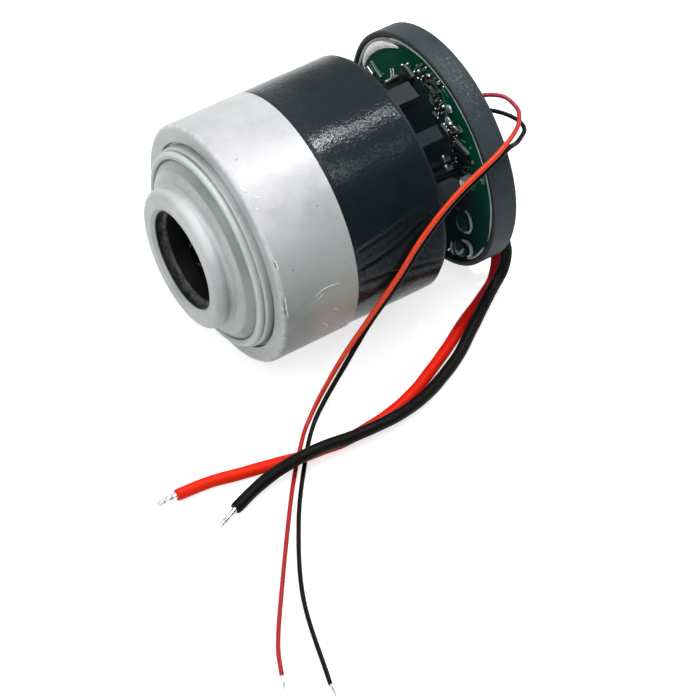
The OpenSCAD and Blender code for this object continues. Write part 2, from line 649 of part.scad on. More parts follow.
// A pan head screw whose head sits at station s0 and whose thread runs forward.
module pan_screw(s0, thread_len) {
    difference() {
        union() {
            translate([0, 0, s0]) cylinder(h = screw_head_t, r = screw_head_r, $fn = 32);
            translate([0, 0, s0 - thread_len]) cylinder(h = thread_len + 0.2, r = screw_r - 0.01, $fn = 24);
        }
        for (a = [0, 90]) rotate(a) translate([0, 0, s0 + screw_head_t]) cube([2.2, 0.45, 1.2], center = true);
    }
}

module bridge_screws() {
    color("#8f9496") in_part() for (a = post_clocks) at_clock(a) translate([lug_pcr, 0, 0]) pan_screw(can_end + bridge_t + step_gap, bridge_t + 4.5);
}

module board_screws() {
    color("#8f9496") in_part() for (a = post_clocks) at_clock(a) translate([standoff_pcr, 0, 0]) pan_screw(board_back, board_t + 4.5);
}

// Where each lead passes through the board, from its route's first point.
function lead_place(route) = [route[0][1], route[0][2] - axis_h];

module circuit_board() {
    hole_gap = 0.2;
    color("#14503d") in_part() difference() {
        translate([0, 0, board_front]) cylinder(h = board_t, r = board_r);
        for (a = post_clocks) at_clock(a) translate([standoff_pcr, 0, board_front - 1]) cylinder(h = board_t + 2, r = screw_r + screw_clear, $fn = 24);
        for (route = [red_power_route, black_power_route]) translate([lead_place(route)[0], lead_place(route)[1], board_front - 1])
            cylinder(h = board_t + 2, r = power_r - 0.5 + hole_gap, $fn = 24);
        for (route = [red_signal_route, black_signal_route]) translate([lead_place(route)[0], lead_place(route)[1], board_front - 1])
            cylinder(h = board_t + 2, r = signal_r - 0.25 + hole_gap, $fn = 24);
        phase_pin_places() translate([0, 0, board_front - 1]) cylinder(h = board_t + 2, r = 0.75, $fn = 24);
    }
}

// The rubber ring: a thin lip round the board's edge and a wider ledge behind it.
module board_ring() {
    color("#3c4347") in_part() rotate_extrude() polygon([
        [ring_in_r, ring_front + 0.3], [ring_in_r + 0.3, ring_front], [ring_r - 0.4, ring_front],
        [ring_r, ring_front + 0.4], [ring_r, ring_rear - 0.4], [ring_r - 0.4, ring_rear],
        [board_r - ledge_w, ring_rear], [board_r - ledge_w, board_back], [ring_in_r, board_back]]);
}

// The glue bead lies on the board inside the ring, over the upper side.
module rim_glue() {
    bead_h = 0.9;
    color("#eef0ee") in_part() intersection() {
        translate([0, 0, board_front]) rotate_extrude() polygon([
            [board_r - 3.5, 0], [board_r - 3.2, -bead_h * 0.7], [board_r - 2.4, -bead_h], [board_r - 1.6, -bead_h * 0.7], [board_r - 1.2, 0]]);
        linear_extrude(height = board_front + 2) polygon([[0, 0], [40 * cos(18), 40 * sin(18)], [40 * cos(41), 44 * sin(41)], [40 * cos(63), 40 * sin(63)]]);
    }
}

// Parts on the board's front face. Each stands at a radius and a clock angle, turned on itself,
// as drawn for a board of radius 27.9, and grows with the board.
board_scale = board_r / 27.9;
module on_board(r, a, turn = 0) {
    at_clock(a) translate([r * board_scale, 0, board_front]) rotate(turn) scale(board_scale) children();
}

module package(w, d, h) {
    translate([-w / 2, -d / 2, -h]) cube([w, d, h]);
}

// A chip part has a body between two tinned ends.
module chip_part(len, w, h) {
    end = len * 0.22;
    package(len - 2 * end, w - 0.1, h - 0.05);
    for (side = [-1, 1]) translate([side * (len - end) / 2, 0, 0]) package(end, w, h);
}

// The switch beside the lead side is the narrow one.
module power_switches() {
    color("#1b1c1e") in_part() {
        for (a = [71, 305, 350]) on_board(20.4, a) package(5, 5.6, 1.1);
        on_board(19.5, 328) package(5, 5.2, 1.1);
        on_board(22, 250) package(5, 5.2, 1.1);
        on_board(21.3, 140) package(3.2, 5, 1.1);
    }
}

module driver_chip() {
    color("#202224") in_part() on_board(10.5, 200) package(6, 6, 0.9);
}

// Capacitors stand in three groups along the side between the tabs, and a row of large ones below.
module chip_capacitors() {
    small = [[23.2, 85, 90], [25.2, 89, 90], [24.2, 94, 0], [26, 98.4, 90], [25.4, 103, 0], [21.4, 101, 90],
        [19.6, 105, 0], [21.6, 108, 90], [19.2, 111.5, 90], [18.4, 127.5, 0], [20.6, 127, 90], [22.6, 130, 0]];
    color("#b39a78") in_part() {
        for (p = small) on_board(p[0], p[1], p[2]) chip_part(1.6, 0.9, 0.8);
        for (i = [0:3]) on_board(24.8, 274 + i * 8, 90) chip_part(3.2, 1.6, 1.5);
    }
}

module chip_resistors() {
    places = [[21.8, 89, 0], [22, 95.5, 90], [23.4, 105, 0], [18.1, 101, 90], [16.4, 137, 0],
        [20.6, 151, 90], [22.4, 149, 0], [18.9, 156, 90]];
    color("#26282a") in_part() {
        for (p = places) on_board(p[0], p[1], p[2]) chip_part(1.6, 0.8, 0.5);
        for (i = [0:3]) on_board(24.6, 326 + i * 5, 0) chip_part(1.6, 0.8, 0.5);
    }
}

module hall_sensor() {
    color("#232527") in_part() on_board(6.5, 20) package(3, 1.6, 1.1);
}

// The sensor's white bead stands on the board beside the lead side, with its cream cap on top.
module temperature_sensor() {
    color("#e9e7da") in_part() on_board(20.6, 162) union() {
        package(1.8, 2.4, 2.6);
        translate([0, 0, -2.6]) package(1.4, 1.6, 1.4);
    }
}

// Domes of solder where the leads come through, large for power and small for signal.
module solder_dome(route, r, h) {
    translate([lead_place(route)[0], lead_place(route)[1], board_front]) mirror([0, 0, 1]) rotate_extrude() polygon(concat(
        [[0, 0], [r, 0]],
        [for (i = [0:4]) let (a = 15 + 75 * i / 4) [r * cos(a), h * sin(a)]],
        [[0, h]]));
}

// The lead's bared core comes through the board and ends in its dome.
module bare_core(route, r) {
    translate([lead_place(route)[0], lead_place(route)[1], board_front - 0.2]) cylinder(h = board_t + 0.2, r = r, $fn = 24);
}

module lead_solder_joints() {
    color("#c6c9c8") in_part() {
        for (route = [red_power_route, black_power_route]) {
            solder_dome(route, 2.3, 1.4);
            bare_core(route, power_r - 0.5);
        }
        for (route = [red_signal_route, black_signal_route]) {
            solder_dome(route, 1.1, 0.7);
            bare_core(route, signal_r - 0.25);
        }
    }
}

// A lead is swept along its route: a ring of points stands square to the way at each point.
function unit(v) = v / norm(v);
function way(route, i) = unit(route[min(i + 1, len(route) - 1)] - route[max(i - 1, 0)]);
function square_to(v) = unit(cross(v, abs(v[0]) > 0.9 ? [0, 1, 0] : [1, 0, 0]));

// The frame is carried from ring to ring without twist.
function carried(route, i, side) = i == 0 ? side : let (w = way(route, i)) unit(side - w * (side * w));
function sides_along(route, i = 0, side = [0, 0, 0], out = []) =
    i == len(route) ? out
    : let (s = i == 0 ? square_to(way(route, 0)) : carried(route, i, side)) sides_along(route, i + 1, s, concat(out, [s]));

module lead(route, r) {
    count = 8;
    sides = sides_along(route);
    rings = [for (i = [0:len(route) - 1]) let (w = way(route, i), u = sides[i], v = cross(w, u))
        [for (j = [0:count - 1]) let (a = 360 * j / count) route[i] + r * (cos(a) * u + sin(a) * v)]];
    translate([-mid_s, 0, 0]) tube_mesh(rings);
}

module tip(route, end, r) {
    start = route[len(route) - 1];
    lead([start, start + 0.6 * (end - start), end], r);
}

module power_lead_red() { color("#d83a22") lead(red_power_route, power_r); }
module power_lead_black() { color("#1e1c1b") lead(black_power_route, power_r); }
module signal_lead_red() { color("#c23a34") lead(red_signal_route, signal_r); }
module signal_lead_black() { color("#1f1d1d") lead(black_signal_route, signal_r); }
module red_power_tip() { color("#c4c6c4") tip(red_power_route, red_power_end, power_r - 0.5); }
module black_power_tip() { color("#c4c6c4") tip(black_power_route, black_power_end, power_r - 0.5); }
module red_signal_tip() { color("#b8a89a") tip(red_signal_route, red_signal_end, signal_r - 0.25); }
module black_signal_tip() { color("#b8a89a") tip(black_signal_route, black_signal_end, signal_r - 0.25); }

intake_boot();
fan_shroud();
impeller();
impeller_nut();
shaft();
rotor_spacer();
rotor_magnet();
balance_ring_front();
balance_ring_rear();
front_bearing_outer();
front_bearing_inner();
front_bearing_balls();
front_bearing_cage();
rear_bearing_outer();
rear_bearing_inner();
rear_bearing_balls();
rear_bearing_cage();
preload_washer();
diffuser();
motor_frame();
body_sleeve();
stator_core();
front_insulator();
rear_insulator();
stator_windings();
phase_pins();
bearing_bridge();
bridge_screws();
circuit_board();
board_screws();
board_ring();
rim_glue();
power_switches();
driver_chip();
chip_capacitors();
chip_resistors();
hall_sensor();
temperature_sensor();
lead_solder_joints();
power_lead_red();
power_lead_black();
signal_lead_red();
signal_lead_black();
red_power_tip();
black_power_tip();
red_signal_tip();
black_signal_tip();
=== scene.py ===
import math
import bpy
import numpy as np
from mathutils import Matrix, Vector


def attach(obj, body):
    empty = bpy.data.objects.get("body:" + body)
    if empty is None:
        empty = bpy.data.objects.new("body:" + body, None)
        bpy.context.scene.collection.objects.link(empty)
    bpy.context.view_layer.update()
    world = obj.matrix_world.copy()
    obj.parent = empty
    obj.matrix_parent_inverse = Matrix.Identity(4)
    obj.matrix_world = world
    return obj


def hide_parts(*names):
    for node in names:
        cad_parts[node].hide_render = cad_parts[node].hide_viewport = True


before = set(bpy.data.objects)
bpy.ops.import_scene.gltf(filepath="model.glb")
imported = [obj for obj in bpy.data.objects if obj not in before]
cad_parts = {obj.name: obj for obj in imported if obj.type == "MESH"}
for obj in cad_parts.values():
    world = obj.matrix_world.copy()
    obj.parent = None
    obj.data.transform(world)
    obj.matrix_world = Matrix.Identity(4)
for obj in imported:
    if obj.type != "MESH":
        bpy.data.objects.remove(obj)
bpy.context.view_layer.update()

# Lengths are in millimetres, and the stage's in metres. Stations run rearwards along the shaft from the
# front edge of the boot's wall. Clock angles are 0 degrees at +Y and 90 degrees straight up.
midStation = 26.2  # the station at the frame's origin
axisHeight = 29.3
bootRadius = 29.0
boardFront = 56.0


# Station, side and height in millimetres to the frame's metres.
def place(points):
    return (np.asarray(points, float) - (midStation, 0, 0)) / 1000


# Points at a radius and a clock angle round the shaft: the radius times the angle's cosine to the side,
# and times its sine above the shaft.
def onAxis(station, radius, clock):
    station, radius, clock = np.broadcast_arrays(station, radius, clock)
    turn = np.radians(clock)
    return np.stack([station, radius * np.cos(turn), axisHeight + radius * np.sin(turn)], -1)


# A smooth curve through the points: a cubic for each pair, whose slope at a point is half the step
# between its neighbours.
def splineLine(points, steps):
    line = np.asarray(points, float)
    line = np.vstack([2 * line[0] - line[1], line, 2 * line[-1] - line[-2]])
    a, b, c, d = (line[i:len(line) - 3 + i][:, None] for i in range(4))
    t = np.linspace(0, 1, steps, endpoint=False)[None, :, None]
    bend = (2 * a - 5 * b + 4 * c - d) * t ** 2 + (3 * b - a - 3 * c + d) * t ** 3
    curve = 0.5 * (2 * b + (c - a) * t + bend)
    return np.vstack([curve.reshape(-1, 3), line[-2]])


# 0 below low, 1 above high, and between them three times the share's square less twice its cube.
def smoothStep(low, high, x):
    t = np.clip((x - low) / (high - low), 0, 1)
    return t * t * (3 - 2 * t)


# A shape is its points, then its faces. This one is a grid (rows, columns, 3) whose columns close on
# themselves; its rows close too if asked, or end in two pole points.
def gridShape(points, wrapRows=False, poles=None):
    rows, cols = points.shape[:2]
    index = np.arange(rows * cols).reshape(rows, cols)
    here = index if wrapRows else index[:-1]
    below = np.roll(index, -1, 0) if wrapRows else index[1:]
    quads = np.stack([here, np.roll(here, -1, 1), np.roll(below, -1, 1), below], -1).reshape(-1, 4)
    if poles is None:
        return points.reshape(-1, 3), quads
    first, last = np.full(cols, rows * cols), np.full(cols, rows * cols + 1)
    front = np.stack([np.roll(index[0], -1), index[0], first], -1)
    back = np.stack([index[-1], np.roll(index[-1], -1), last], -1)
    return np.vstack([points.reshape(-1, 3), poles]), quads, np.vstack([front, back])


# Rings of points square to a line. The guide is never along the line, so its cross product with the way
# is the ring's first side, and the way's cross product with that is the second, squeezed by flat.
def ringsAlong(line, radii, sides, guide, flat=1.0):
    way = np.gradient(line, axis=0)
    way /= np.linalg.norm(way, axis=1)[:, None]
    side = np.cross(np.asarray(guide, float), way)
    side /= np.linalg.norm(side, axis=1)[:, None]
    up = np.cross(way, side)
    turn = np.linspace(0, 2 * math.pi, sides, endpoint=False)[None, :, None]
    ring = np.cos(turn) * side[:, None] + flat * np.sin(turn) * up[:, None]
    return line[:, None] + np.asarray(radii).reshape(-1, 1, 1) * ring


# A tube of such rings, closed at both ends of its line.
def tubeShape(line, radii, sides, guide, flat=1.0):
    return gridShape(ringsAlong(line, radii, sides, guide, flat), poles=line[[0, -1]])


# A dome on the board: each ring's radius follows the cosine, and its height the sine, of an angle that
# grows from 0 to a right angle.
def domeShape(foot, radius, height, rows=5, cols=12):
    rise = np.append(0, np.linspace(0, math.pi / 2, rows + 1)[:-1])[:, None]
    reach = radius * np.cos(rise)
    reach[0] *= 0.5  # the first ring lies on the board, under the dome
    turn = np.linspace(0, 2 * math.pi, cols, endpoint=False)[None, :]
    station = foot[0] - height * np.sin(rise) + 0 * turn
    points = np.stack([station, foot[1] + reach * np.cos(turn), foot[2] - reach * np.sin(turn)], -1)
    return gridShape(points, poles=np.subtract([foot, foot], [(0, 0, 0), (height, 0, 0)]))


# Solids are (centre, three unit axes, half sizes, material slot). Each corner lies at its centre plus or
# minus each half size along each axis.
def boxShape(solids):
    centres, axes, halves = (np.array([solid[i] for solid in solids], float) for i in range(3))
    corner = np.array([[x, y, z] for z in (-1, 1) for y in (-1, 1) for x in (-1, 1)])
    points = centres[:, None] + np.einsum("nck,nkd->ncd", corner[None] * halves[:, None], axes)
    sides = np.array([[0, 2, 3, 1], [4, 5, 7, 6], [0, 1, 5, 4], [2, 6, 7, 3], [0, 4, 6, 2], [1, 3, 7, 5]])
    mirrored = np.linalg.det(axes) < 0
    sides = np.where(mirrored[:, None, None], sides[:, ::-1], sides)
    return points.reshape(-1, 3), (sides + 8 * np.arange(len(centres))[:, None, None]).reshape(-1, 4)


# One piece on the motor's body: each shape's faces count on from the points of those before it.
def newPiece(name, shapes, materials, replaced=None, smooth=True):
    starts = np.cumsum([0] + [len(shape[0]) for shape in shapes])
    faces = [(part + start).tolist() for start, shape in zip(starts, shapes) for part in shape[1:]]
    mesh = bpy.data.meshes.new(name)
    mesh.from_pydata(place(np.vstack([shape[0] for shape in shapes])).tolist(), [], sum(faces, []))
    mesh.polygons.foreach_set("use_smooth", np.full(len(mesh.polygons), smooth))
    mesh.update()
    for material in materials:
        mesh.materials.append(material)
    piece = bpy.data.objects.new(name, mesh)
    bpy.context.scene.collection.objects.link(piece)
    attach(piece, "motor")
    if replaced:
        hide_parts(replaced)
    return piece


# An sRGB hex value as linear red, green, blue and alpha.
def linearColor(hexText):
    value = np.array([int(hexText[i:i + 2], 16) for i in (1, 3, 5)]) / 255
    linear = np.where(value <= 0.04045, value / 12.92, ((value + 0.055) / 1.055) ** 2.4)
    return (*linear.tolist(), 1.0)


# Each input gets a link from another node's output, or a fixed value on its socket; colours are hex text.
def feed(tree, node, inputs):
    for key, value in inputs.items():
        if isinstance(value, bpy.types.NodeSocket):
            tree.links.new(value, node.inputs[key])
        else:
            node.inputs[key].default_value = linearColor(value) if isinstance(value, str) else value


def addNode(tree, kind, inputs=None, **settings):
    node = tree.nodes.new(kind)
    for key, value in settings.items():
        setattr(node, key, value)
    feed(tree, node, inputs or {})
    return node


def calculate(tree, operation, *values):
    return addNode(tree, "ShaderNodeMath", dict(enumerate(values)), operation=operation).outputs[0]


def product(tree, *values):
    result = values[0]
    for value in values[1:]:
        result = calculate(tree, "MULTIPLY", result, value)
    return result


# A value carried from one range to another and held at its ends.
def remap(tree, value, fromMin, fromMax, toMin=0.0, toMax=1.0):
    inputs = {"Value": value, "From Min": fromMin, "From Max": fromMax, "To Min": toMin, "To Max": toMax}
    return addNode(tree, "ShaderNodeMapRange", inputs).outputs["Result"]


# 1 within a half width of a centre, falling to 0 over the soft distance beyond it.
def bandMask(tree, value, centre, halfWidth, soft):
    away = calculate(tree, "ABSOLUTE", calculate(tree, "SUBTRACT", value, centre))
    return remap(tree, away, halfWidth, halfWidth + soft, 1.0, 0.0)


# Soft noise with so many patches to a metre.
def noise(tree, spot, scale, detail, roughness=0.5):
    inputs = {"Vector": spot, "Scale": scale, "Detail": detail, "Roughness": roughness}
    return addNode(tree, "ShaderNodeTexNoise", inputs).outputs["Fac"]


# A colour ramp through (position, hex) stops.
def ramp(tree, factor, *stops):
    node = addNode(tree, "ShaderNodeValToRGB", {"Fac": factor})
    elements = node.color_ramp.elements
    while len(elements) < len(stops):
        elements.new(0.5)
    for element, (position, hexText) in zip(elements, stops):
        element.position = position
        element.color = linearColor(hexText)
    return node.outputs["Color"]


# A colour mixed over a base by an amount.
def blend(tree, amount, base, over):
    return addNode(tree, "ShaderNodeMix", {0: amount, 6: base, 7: over}, data_type="RGBA").outputs[2]


# A principled surface with fixed values on its own sockets, and the object coordinates for patterns.
def newMaterial(name, **values):
    material = bpy.data.materials.new(name)
    material.use_nodes = True
    tree = material.node_tree
    shader = tree.nodes["Principled BSDF"]
    feed(tree, shader, {key.replace("_", " "): value for key, value in values.items()})
    return material, tree, shader, addNode(tree, "ShaderNodeTexCoord").outputs["Object"]


# Bumps, each over the one before it, from a height, a strength and a depth in millimetres.
def emboss(tree, shader, *layers):
    normal = {}
    for height, strength, depthMm in layers:
        inputs = {"Height": height, "Strength": strength, "Distance": depthMm / 1000, **normal}
        normal = {"Normal": addNode(tree, "ShaderNodeBump", inputs).outputs["Normal"]}
    feed(tree, shader, normal)


# Station, radius and clock of the shaded point. The radius is the length of its reach from the shaft in
# Y and Z, and the clock is that reach's angle in turns from 0 to 1.
def fromAxis(tree, spot):
    down = {0: spot, 1: (0, 0, -axisHeight / 1000)}
    reach = addNode(tree, "ShaderNodeVectorMath", down, operation="ADD").outputs[0]
    parts = addNode(tree, "ShaderNodeSeparateXYZ", {"Vector": reach}).outputs
    across = {0: reach, 1: (0, 1000, 1000)}
    flat = addNode(tree, "ShaderNodeVectorMath", across, operation="MULTIPLY").outputs[0]
    radius = addNode(tree, "ShaderNodeVectorMath", {0: flat}, operation="LENGTH").outputs["Value"]
    station = calculate(tree, "MULTIPLY_ADD", parts["X"], 1000.0, midStation)
    angle = calculate(tree, "ARCTAN2", parts["Z"], parts["Y"])
    return station, radius, calculate(tree, "FRACT", calculate(tree, "MULTIPLY", angle, 1 / (2 * math.pi)))


# Two close colours in soft patches, fine grain as bump, and roughness that wanders with the patches.
def mottled(name, dark, light, patchMm, grainMm, bump, rough, depthMm=0.02, **values):
    material, tree, shader, spot = newMaterial(name, **values)
    patches = noise(tree, spot, 1000 / patchMm, 4, 0.6)
    feed(tree, shader, {"Base Color": ramp(tree, patches, (0.35, dark), (0.65, light))})
    feed(tree, shader, {"Roughness": remap(tree, patches, 0.3, 0.7, *rough)})
    emboss(tree, shader, (noise(tree, spot, 1000 / grainMm, 3), bump, depthMm))
    return material


# The camera is fitted to the photo. Each lamp stands at a distance in metres from the motor's middle.
studio = dict(
    cameraPlace=(-0.2324, -0.3679, 0.4627), cameraWay=(0.3672, 0.558, -0.744), lens=138.7, sensor=36,
    middle=(0, 0, 0.03), worldLevel=0.23, paperTone=0.62, paperGlow=0.75,
    lamps=dict(
        topLamp=dict(way=(0.367, 0.05, 0.929), distance=0.75, size=0.1, power=3.3),
        sideLamp=dict(way=(0.367, -0.43, 0.825), distance=0.75, size=0.1, power=0.35),
        broadLamp=dict(way=(-0.25, -0.12, 0.95), distance=1.4, size=1.2, power=12.0),
        frontLamp=dict(way=(-0.9, -0.1, 0.45), distance=1.3, size=0.8, power=3.8)),
    floor=[(-2.5, -2.5, -0.0002), (2.5, -2.5, -0.0002), (2.5, 2.5, -0.0002), (-2.5, 2.5, -0.0002)],
    flag=[(-0.5, -0.9, 0), (2.2, -0.9, 0), (2.2, -0.9, 1.15), (-0.5, -0.9, 1.15)])


# 1 for the rays that reach the camera straight, by gloss or through a clear body, and 0 for soft light.
def seenRays(tree):
    rays = addNode(tree, "ShaderNodeLightPath").outputs
    straight = calculate(tree, "MAXIMUM", rays["Is Camera Ray"], rays["Is Glossy Ray"])
    return calculate(tree, "MAXIMUM", straight, rays["Is Transmission Ray"])


def stagePiece(name, corners, material):
    mesh = bpy.data.meshes.new(name)
    mesh.from_pydata(corners, [], [(0, 1, 2, 3)])
    mesh.materials.append(material)
    piece = bpy.data.objects.new(name, mesh)
    bpy.context.scene.collection.objects.link(piece)


def buildStage():
    scene = bpy.context.scene
    scene.view_settings.view_transform = "Standard"
    cameraData = bpy.data.cameras.new("photoCamera")
    cameraData.lens = studio["lens"]
    cameraData.sensor_width = studio["sensor"]
    camera = bpy.data.objects.new("photoCamera", cameraData)
    camera.location = studio["cameraPlace"]
    camera.rotation_euler = Vector(studio["cameraWay"]).to_track_quat("-Z", "Y").to_euler()
    scene.collection.objects.link(camera)
    scene.camera = camera

    for name, lamp in studio["lamps"].items():
        light = bpy.data.lights.new(name, "AREA")
        light.energy = lamp["power"]
        light.size = lamp["size"]
        way = Vector(lamp["way"]).normalized()
        stand = bpy.data.objects.new(name, light)
        stand.location = Vector(studio["middle"]) + way * lamp["distance"]
        stand.rotation_euler = way.to_track_quat("Z", "Y").to_euler()
        scene.collection.objects.link(stand)

    # the world looks white and lights the object less than it looks
    world = bpy.data.worlds.new("studioWorld")
    scene.world = world
    world.use_nodes = True
    tree = world.node_tree
    tree.nodes.clear()
    level = remap(tree, seenRays(tree), 0.0, 1.0, studio["worldLevel"], 1.0)
    sky = addNode(tree, "ShaderNodeBackground", {"Color": (1, 1, 1, 1), "Strength": level})
    addNode(tree, "ShaderNodeOutputWorld", {"Surface": sky.outputs[0]})

    # matte white paper that keeps the shadow; its glow is for the same rays as the white world
    paper = bpy.data.materials.new("whitePaperSweep")
    paper.use_nodes = True
    tree = paper.node_tree
    tree.nodes.clear()
    tone = studio["paperTone"]
    matte = addNode(tree, "ShaderNodeBsdfDiffuse", {"Color": (tone, tone, tone, 1)})
    strength = calculate(tree, "MULTIPLY", seenRays(tree), studio["paperGlow"])
    glow = addNode(tree, "ShaderNodeEmission", {"Color": (1, 1, 1, 1), "Strength": strength})
    both = addNode(tree, "ShaderNodeAddShader", {0: matte.outputs[0], 1: glow.outputs[0]})
    addNode(tree, "ShaderNodeOutputMaterial", {"Surface": both.outputs[0]})
    stagePiece("paperFloor", studio["floor"], paper)

    # a black cloth flag behind the camera keeps the dark plastics' lower reflections dark
    cloth = newMaterial("blackFlagCloth", Base_Color="#0A0A0A", Roughness=0.9)[0]
    stagePiece("blackFlag", studio["flag"], cloth)
    print("stage ready")


buildStage()

# Each lead: the CAD nodes of its insulation and of its bare end, its radius, the end of the bare strands,
# a direction never along it, the strands' bundle with its share of solder, and points of its route.
leads = dict(
    redPowerLead=dict(
        node="power_lead_red", tip="red_power_tip", radius=1.4, end=(-38.6, -36.3, 1.0),
        guide=(0.01, 0.71, -0.7), core=0.75, solder=0.96, strands=7,
        route=[(57.6, -16.4, 10.8), (60.4, -16.4, 10.8), (62.8, -16.8, 10.4), (64.2, -17.7, 9.2),
            (64.6, -18.8, 7.2), (64.2, -19.7, 5), (63.1, -20.9, 3.2), (61, -22.5, 1.6), (55.1, -25.8, 1.45),
            (48.1, -29.3, 1.5), (41, -33.5, 1.7), (33.1, -37.5, 1.48), (26, -40.7, 1.45), (17, -43.2, 1.52),
            (6, -44.1, 1.5), (-1, -43.9, 2.4), (-6, -43.6, 2.8), (-11.8, -41.3, 1.9), (-19, -39.3, 1.45),
            (-25.9, -37.6, 1.45), (-33.9, -36.8, 1.45)]),
    blackPowerLead=dict(
        node="power_lead_black", tip="black_power_tip", radius=1.4, end=(-30.3, -49.2, 1.0),
        guide=(-0.12, 0.9, -0.43), core=0.6, solder=1.08, strands=5,
        route=[(57.6, -16.9, 19.2), (60.2, -16.9, 19.2), (62.3, -17.7, 18.3), (63.9, -19.3, 16.3),
            (64.7, -20.9, 13.3), (64.8, -22.2, 10.5), (64.2, -23, 7.9), (63.2, -23.5, 5.5),
            (61.6, -24.1, 4.1), (59.3, -25.5, 3.9), (54.9, -28.3, 3.5), (48.2, -32.6, 2.4),
            (41.3, -37.1, 1.66), (33.9, -40.7, 1.46), (27, -43.5, 1.9), (18, -45.6, 3.1), (7, -45.9, 4.1),
            (-0.1, -45.4, 4.9), (-6, -45.4, 5.3), (-12, -44.7, 3.7), (-18, -44.8, 1.7), (-25, -47.1, 1.45)]),
    redSignalLead=dict(
        node="signal_lead_red", tip="red_signal_tip", radius=0.6, end=(-41.7, -94.1, 0.5),
        guide=(0.4, 0.18, -0.9), core=0.3, solder=0.95, strands=5,
        route=[(57.6, -10.1, 50), (60.8, -10.1, 50), (64.4, -11.7, 51.1), (67.6, -14.6, 51.2),
            (68.7, -18, 50), (67.8, -20.3, 49.4), (65.9, -22.3, 49), (63.2, -24, 48.8), (60, -25.5, 48.6),
            (56, -26.8, 47.8), (50.6, -27.6, 46), (45.2, -28.3, 43.7), (40.1, -28.9, 40.4),
            (34.3, -29.5, 35.2), (28.8, -30, 28.5), (22.3, -29.9, 20.5), (14.7, -30.1, 11.8),
            (8, -31.4, 4.7), (3, -33.7, 1.08), (-2.2, -38.3, 0.65), (-12.2, -49.8, 0.65),
            (-28.1, -70.8, 0.65), (-36.3, -82.3, 0.65), (-39.9, -89.4, 0.65)]),
    blackSignalLead=dict(
        node="signal_lead_black", tip="black_signal_tip", radius=0.6, end=(-33.5, -101.6, 0.5),
        guide=(-0.28, 0.23, 0.93), core=0.3, solder=0.95, strands=5,
        route=[(57.6, -9.8, 46.2), (61, -9.8, 46.2), (65, -11.3, 46), (68.4, -14, 45.2),
            (70.2, -17.2, 44.5), (69.7, -20, 44.4), (67.4, -21.9, 44.7), (64.8, -23.5, 45.4),
            (61.4, -25.2, 47), (56.8, -26.7, 46.5), (51, -27.5, 44.5), (45.6, -28.2, 42.3),
            (40.8, -28.9, 39.3), (35.2, -29.5, 34.1), (28.7, -30, 26.2), (21.6, -29.8, 17.6),
            (14.1, -30.9, 8.9), (7.2, -32.9, 2.8), (1.7, -36.6, 0.88), (-5.2, -44.2, 0.65),
            (-15.1, -57.2, 0.65), (-25.5, -75.3, 0.65), (-32.7, -96.9, 0.65)]))


# Extruded insulation, uneven and satin: a colour that changes a little along the lead, which on the red
# leads is painted light and shade.
def insulation(name, stops, wander, rough, level):
    material, tree, shader, spot = newMaterial(name, IOR=1.45, Specular_IOR_Level=level)
    along = addNode(tree, "ShaderNodeAttribute", attribute_name="along").outputs["Fac"]
    clouds = noise(tree, spot, 160, 3)
    shift = calculate(tree, "MULTIPLY_ADD", clouds, wander, -wander / 2)
    feed(tree, shader, {"Base Color": ramp(tree, calculate(tree, "ADD", along, shift), *stops)})
    feed(tree, shader, {"Roughness": remap(tree, clouds, 0.3, 0.7, *rough)})
    emboss(tree, shader, (noise(tree, spot, 1800, 2), 0.2, 0.03))
    return material


# silicone rubber on the power leads, vinyl on the signal leads, tinned and twisted copper at their ends
leadFinishes = dict(
    # painted shade: darker red where the lead runs behind the ring
    redPowerLead=insulation("siliconeInsulationRed",
        [(0.1, "#B3121C"), (0.25, "#D8180C"), (0.6, "#D92008"), (0.85, "#E2260A")], 0.2, (0.35, 0.5), 0.12),
    blackPowerLead=insulation("siliconeInsulationBlack",
        [(0.5, "#100E0D"), (0.85, "#0B0A0A")], 0.3, (0.45, 0.6), 0.1),
    # painted shade and highlight: darker behind the ring and crimson on the floor, lighter orange over the
    # body
    redSignalLead=insulation("vinylInsulationRed",
        [(0.09, "#9C1A2E"), (0.17, "#DE3C10"), (0.5, "#E23C0E"), (0.62, "#B01A10"), (0.8, "#A8121A")],
        0.06, (0.25, 0.38), 0.35),
    blackSignalLead=insulation("vinylInsulationBlack",
        [(0.5, "#0A0909"), (0.85, "#070707")], 0.2, (0.35, 0.5), 0.12),
    strand=mottled("tinnedCopperStrands", "#A9ABAA", "#E6E7E5", 1.6, 0.3, 0.3, (0.15, 0.3), Metallic=1.0))


# The insulation: rings along the route whose radius swells and pinches slightly by two sine waves, with
# a rounded cut at its end. The share of the way at each point goes into an attribute.
def buildInsulation(name, lead, line, travelled):
    share = travelled / travelled[-1]
    radii = lead["radius"] * (1 + 0.012 * np.sin(travelled * 0.9) + 0.01 * np.sin(travelled * 0.37 + 1))
    sides = 20
    if lead["radius"] < 1:
        # the thin leads look fuller over the body and are drawn thinner beyond it and in their loop
        radii *= 0.84 + 0.16 * smoothStep(0.1, 0.17, share) - 0.14 * smoothStep(0.5, 0.62, share)
        sides = 14
    rings = {scale: ringsAlong(line, radii * scale, sides, lead["guide"]) for scale in (1, 0.93, 0.6)}
    rows = np.concatenate([rings[0.6][:1], rings[1][:-1], rings[0.93][-1:], rings[0.6][-1:]])
    piece = newPiece(name, [gridShape(rows, poles=line[[0, -1]])], [leadFinishes[name]], lead["node"])
    along = np.append(np.repeat([0, *share, 1], sides), [0, 1])
    attribute = piece.data.attributes.new("along", "FLOAT", "POINT")
    attribute.data.foreach_set("value", along.astype(np.float32))
    return piece


